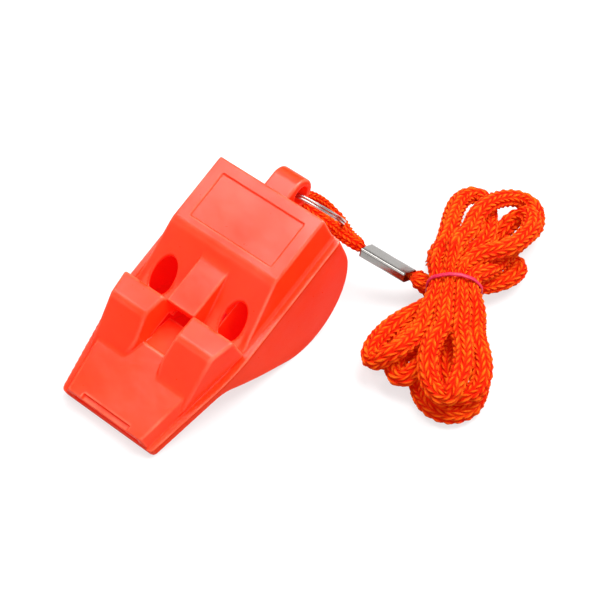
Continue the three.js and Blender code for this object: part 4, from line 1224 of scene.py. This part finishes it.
def cover_outside(p, x, q):
    """Outer forms, each a rounded solid, joined with fillets; q is p with |x| for its x."""
    y, z = p[:, 1], p[:, 2]
    mouth = wedge(
        p, (MOUTH_FOOT_FRONT, SEAM_BELOW, half_at(0, MOUTH_FOOT_INSET)),
        (BLOCK_REAR, SEAM_BELOW, half_at(BLOCK_REAR, REAR_FOOT_INSET)),
        (MOUTH_TOP_FRONT, MOUTH_TOP, half_at(0, MOUTH_TOP_INSET)),
        (WINDOW_LIP, MOUTH_TOP, half_at(WINDOW_LIP, LIP_INSET)), 0.3,
    )
    mouth = blend_max(mouth, y - BLOCK_REAR, 0.3)
    flange = rounded([plan(p, 0, 0.0, BODY_LENGTH, 1.0), z - FLANGE_TOP, SEAM_BELOW - z], 0.15)
    base_plan = plan(p, BASE_INSET, BASE_FRONT, BASE_REAR, 0.3)
    base = rounded([base_plan, z - BASE_TOP, SEAM_BELOW - z], 0.3)
    deck = wedge(
        p, (FACE_FRONT, 0, DECK_HALF), (DECK_REAR, 0, DECK_HALF),
        (DECK_FRONT, DECK_TOP, DECK_TOP_HALF), (DECK_TOP_REAR, DECK_TOP, DECK_TOP_HALF), 0.45,
    )
    rib = wedge(
        p, (WINDOW_REAR, 0, RIB_HALF), (DECK_FRONT, 0, RIB_HALF),
        (WINDOW_REAR, RIB_TOP, RIB_TOP_HALF), (DECK_FRONT, RIB_TOP, RIB_TOP_HALF), 0.35,
    )
    block = hexa(q, [
        (BLOCK_INNER, BLOCK_FRONT, BLOCK_FOOT),
        (half_at(BLOCK_FRONT, BLOCK_FOOT_INSET), BLOCK_FRONT, BLOCK_FOOT),
        (BLOCK_REAR_HALF, BLOCK_REAR, BLOCK_FOOT), (BLOCK_INNER, BLOCK_REAR, BLOCK_FOOT),
    ], [
        (BLOCK_CREST_INNER, BLOCK_CREST, BLOCK_TOP),
        (half_at(BLOCK_CREST, BLOCK_CREST_INSET), BLOCK_CREST, BLOCK_TOP),
        (BLOCK_TOP_HALF, BLOCK_REAR, BLOCK_REAR_TOP),
        (BLOCK_TOP_INNER, BLOCK_REAR, BLOCK_REAR_TOP),
    ], 0.6)
    flare = FLARE_X - FLARE_BY_Y * (y - FLARE_Y) + FLARE_BY_Z * (z - MOUTH_TOP) - x
    block = blend_max(block, flare * FLARE_SLOPE, 0.6)
    eye = np.hypot(y - LUG_Y, z - LUG_Z) - LUG_RADIUS
    root = rounded([np.abs(z - LUG_Z) - LUG_RADIUS, y - LUG_Y, LUG_ROOT - y], 0.1)
    lug = rounded([np.minimum(eye, root), x - LUG_HALF], 0.45)
    lug = blend_max(lug, -rounded([y - BODY_LENGTH - 0.1, z], 0.1), 0.1)
    solid = blend_min(mouth, flange, 0.25)
    for form, fillet in ((base, 0.3), (deck, 0.7), (rib, 0.5), (block, 0.35), (lug, 0.5)):
        solid = blend_min(solid, form, fillet)
    return solid


def cover_inside(p, x, q):
    """Hollow forms: mouth slot, air way, sound chamber, blocks and the way to the window."""
    y, z = p[:, 1], p[:, 2]
    return np.minimum.reduce([
        wedge(
            p, (-SLOT_REAR, SEAM_BELOW, SLOT_HALF), (SLOT_REAR, SEAM_BELOW, SLOT_HALF),
            (-SLOT_REAR, MOUTH_ROOF, SLOT_HALF), (SLOT_REAR, MOUTH_ROOF, SLOT_HALF), 0.3,
        ),
        wedge(
            p, (AIRWAY_FRONT, SEAM_BELOW, AIRWAY_HALF),
            (AIRWAY_REAR, SEAM_BELOW, AIRWAY_REAR_HALF),
            (AIRWAY_FRONT, MOUTH_ROOF, AIRWAY_TOP_HALF),
            (AIRWAY_REAR, MOUTH_ROOF, AIRWAY_REAR_TOP_HALF), 0.3,
        ),
        wedge(
            p, (CHAMBER_FRONT, SEAM_BELOW, DECK_HALF - WALL),
            (CHAMBER_REAR, SEAM_BELOW, DECK_HALF - WALL),
            (CHAMBER_TOP_FRONT, DECK_TOP - WALL, DECK_TOP_HALF - WALL),
            (CHAMBER_REAR, DECK_TOP - WALL, DECK_TOP_HALF - WALL), 0.4,
        ),
        hexa(q, BLOCK_HOLLOW_FOOT, BLOCK_HOLLOW_TOP, 0.4),
        rounded([
            x - WINDOW_WAY_HALF, WINDOW_WAY_FRONT - y, y - WINDOW_WAY_REAR,
            z - WINDOW_WAY_TOP, SEAM_BELOW - z,
        ], 0.2),
    ])


def cover_openings(p, x):
    """Air window, sound holes and bore, each cut right through."""
    y, z = p[:, 1], p[:, 2]
    cut_top = MOUTH_TOP + 3
    window = wedge(
        p, (WINDOW_LIP, SEAM_BELOW, WINDOW_HALF), (WINDOW_REAR, SEAM_BELOW, WINDOW_HALF),
        (WINDOW_LIP, cut_top, WINDOW_TOP_HALF), (WINDOW_REAR, cut_top, WINDOW_TOP_HALF), 0.25,
    )
    hole = np.hypot((x - HOLE_X) / HOLE_HALF, (y - HOLE_Y) / HOLE_LONG_HALF) - 1
    hole = rounded([hole * HOLE_SLOPE, HOLE_BOTTOM - z, BLOCK_REAR + 0.2 - y], 0.1)
    bore = np.hypot(y - LUG_Y, z - BORE_Z) - BORE_RADIUS
    return np.minimum.reduce([window, hole, bore])


def cover_distance(p, low=0.0):
    """Outside less the inside, plus partitions, less openings and recesses, plus the ramp.

    The lug and the ramp under the air window alone reach below the seam.
    """
    x, y, z = np.abs(p[:, 0]), p[:, 1], p[:, 2]
    q = np.column_stack([x, y, z])
    solid = blend_max(cover_outside(p, x, q), -cover_inside(p, x, q), 0.25)
    partitions = rounded([
        np.abs(x - PARTITION) - PARTITION_HALF, PARTITION_FRONT - y, y - BODY_LENGTH + 0.8,
        z - DECK_TOP + 0.6, 0.9 * (z + 0.2) - 0.35 * (y - 28.8),
    ], 0.15)
    solid = np.minimum(solid, partitions)
    solid = blend_max(solid, -cover_openings(p, x), 0.5)
    panel = rounded([
        x - PANEL_HALF, PANEL_FRONT - y, y - PANEL_REAR, DECK_TOP - PANEL_DEPTH - z,
    ], 0.15)
    tip_recess = rounded([
        x - TIP_RECESS_HALF, y - TIP_RECESS_REAR, MOUTH_TOP - TIP_RECESS_DEPTH - z,
    ], 0.2)
    solid = blend_max(solid, -np.minimum(panel, tip_recess), 0.2)
    air_ramp = wedge(
        p, (*AIR_RAMP_FRONT, AIR_RAMP_HALF), (*AIR_RAMP_REAR, AIR_RAMP_HALF),
        (*AIR_RAMP_LIP, AIR_RAMP_HALF), (*AIR_RAMP_END, AIR_RAMP_HALF), 0.2,
    )
    solid = np.minimum(solid, air_ramp)
    ramp_below = (x < AIR_RAMP_HALF + 0.05) & (np.abs(y - 22) < 5)
    above = np.where((y > BODY_LENGTH) | ramp_below, -9.0, low - z)
    return np.maximum(solid, above)


def hole_plan(points, margin):
    """Whether points lie in the sound holes' ellipses, widened by a margin."""
    x = (np.abs(points[:, 0]) - HOLE_X) / (HOLE_HALF + margin)
    y = (points[:, 1] - HOLE_Y) / (HOLE_LONG_HALF + margin)
    return np.hypot(x, y) < 1


cover, points = moulded_shell(
    "whistle_cover", cover_distance, (-18.6, -0.9, -3.4), (18.6, 69.2, 8.6),
    COVER_CELL, -NO_SEAM, plastic,
)
# Painted highlight on the cover's sharp outer edges, dimmed round the sound holes.
light = painted_edge_highlight(cover_distance, points, -NO_SEAM)
point_values(cover, "painted_edge_highlight", (1 - HOLE_HIGHLIGHT_DIMMING * hole_plan(points, 0.7)) * light)
# Painted shade in the sound holes, below the slanted face.
hole_shade_depth = np.clip((0.432 * (points[:, 1] - FACE_FRONT) - 0.3 - points[:, 2]) / 0.4, 0, 1)
point_values(cover, "painted_hole_shade", hole_shade_depth * hole_plan(points, 0.2))
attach(cover, "whistle")
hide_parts("top_cover")


# ---------------------------------------------------------------- ball
# Ground cork, put in before the shells are welded. It lies loose at the bottom of the
# middle chamber, between the two partitions.
BALL_RADIUS = 4.6
BALL_PLAY = 0.35
PIT_DEPTH = 0.1
PIT_MEAN = 0.12
BALL_ROWS = 60
BALL_AROUND = 96
CORK_DARK = (0.28, 0.13, 0.05)
CORK_LIGHT = (0.72, 0.46, 0.24)
CORK_BUMP = 0.0003


def pitted_ball():
    """Sphere by polar angle and longitude, its radius dented by a product of sines."""
    theta = np.linspace(0, math.pi, BALL_ROWS)[:, None]
    phi = np.linspace(0, 2 * math.pi, BALL_AROUND, endpoint=False)[None, :]
    pits = (
        np.sin(9 * phi + 5 * np.sin(7 * theta)) * np.sin(11 * theta + 2 * np.sin(5 * phi))
    ) * np.sin(theta)
    reach = BALL_RADIUS - PIT_MEAN + PIT_DEPTH * pits
    middle = table([0, *BARREL]) - [0, 0, BARREL_RADIUS - WALL - BALL_RADIUS - BALL_PLAY]
    return middle + np.stack([
        reach * np.sin(theta) * np.cos(phi), reach * np.sin(theta) * np.sin(phi),
        reach * np.cos(theta) + 0 * phi,
    ], axis=-1)


cork, tree, shader = new_material("ground_cork", Roughness=0.85)
crumbs = grain(tree, 1400, 4.0, 0.65)["Grain"]
feed(tree, shader.inputs["Base Color"], mix_colour(tree, crumbs, CORK_DARK, CORK_LIGHT))
add_bump(tree, shader, crumbs, CORK_BUMP, 0.7)
ball = add_mesh(
    "cork_ball", metres(pitted_ball().reshape(-1, 3)),
    grid_faces(BALL_ROWS, BALL_AROUND)[:, ::-1], cork,
)
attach(ball, "ball")
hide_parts("pea")


# ---------------------------------------------------------------- table top
# White studio table. Its whiteness towards the camera, in gloss and through clear things
# comes from its own light, so that the lamps can stay low.
TABLE_HALF = 1.5
TABLE_POINTS = 13
TABLE_COLOUR = (0.33, 0.33, 0.33)
TABLE_GLOW = 0.69


def seen_directly(tree):
    """One for camera, glossy and transmission rays, zero for diffuse light."""
    path = tree.nodes.new("ShaderNodeLightPath").outputs
    either = calc(tree, "MAXIMUM", path["Is Camera Ray"], path["Is Glossy Ray"])
    return calc(tree, "MAXIMUM", either, path["Is Transmission Ray"])


white, tree, shader = new_material(
    "white_table", Roughness=0.9, Specular_IOR_Level=0.1, Base_Color=TABLE_COLOUR,
    Emission_Color=(1.0, 1.0, 1.0),
)
glow = calc(tree, "MULTIPLY", seen_directly(tree), TABLE_GLOW)
feed(tree, shader.inputs["Emission Strength"], glow)
side = np.linspace(-TABLE_HALF, TABLE_HALF, TABLE_POINTS)
x, y = np.meshgrid(side, side, indexing="ij")
table_top = add_mesh(
    "table_top", np.stack([x, y, 0 * x], axis=-1).reshape(-1, 3),
    grid_faces(TABLE_POINTS, TABLE_POINTS, closed_columns=False)[:, ::-1], white,
)


# ---------------------------------------------------------------- lamps and room
# One large soft light overhead, a small one that lays a sheen on the deck, a weak one
# from the right, and a pale room. Each lamp is given by place, side in metres and watts.
LAMPS = {
    "overhead": ((0.1, 0.36, 0.8), 0.75, 12.5),
    "sheen": ((-0.38, -0.05, 0.8), 0.26, 1.7),
    "right": ((0.75, -0.4, 0.45), 0.5, 1.5),
}
ROOM_LIGHT = 0.35
ROOM_SEEN = 0.3

for name, (place, size, power) in LAMPS.items():
    light = bpy.data.lights.new(name, "AREA")
    light.shape = "SQUARE"
    light.size = size
    light.energy = power
    away = unit(place)
    side = unit(np.cross([0.0, 1.0, 0.0], away))
    stand(bpy.data.objects.new(name, light), side, np.cross(away, side), away, place)

room = bpy.data.worlds.new("studio")
room.use_nodes = True
tree = room.node_tree
background = tree.nodes["Background"].inputs
feed(tree, background["Color"], (1.0, 1.0, 1.0))
strength = calc(tree, "MULTIPLY_ADD", seen_directly(tree), ROOM_SEEN, ROOM_LIGHT)
feed(tree, background["Strength"], strength)
bpy.context.scene.world = room
bpy.context.scene.view_settings.view_transform = "Standard"
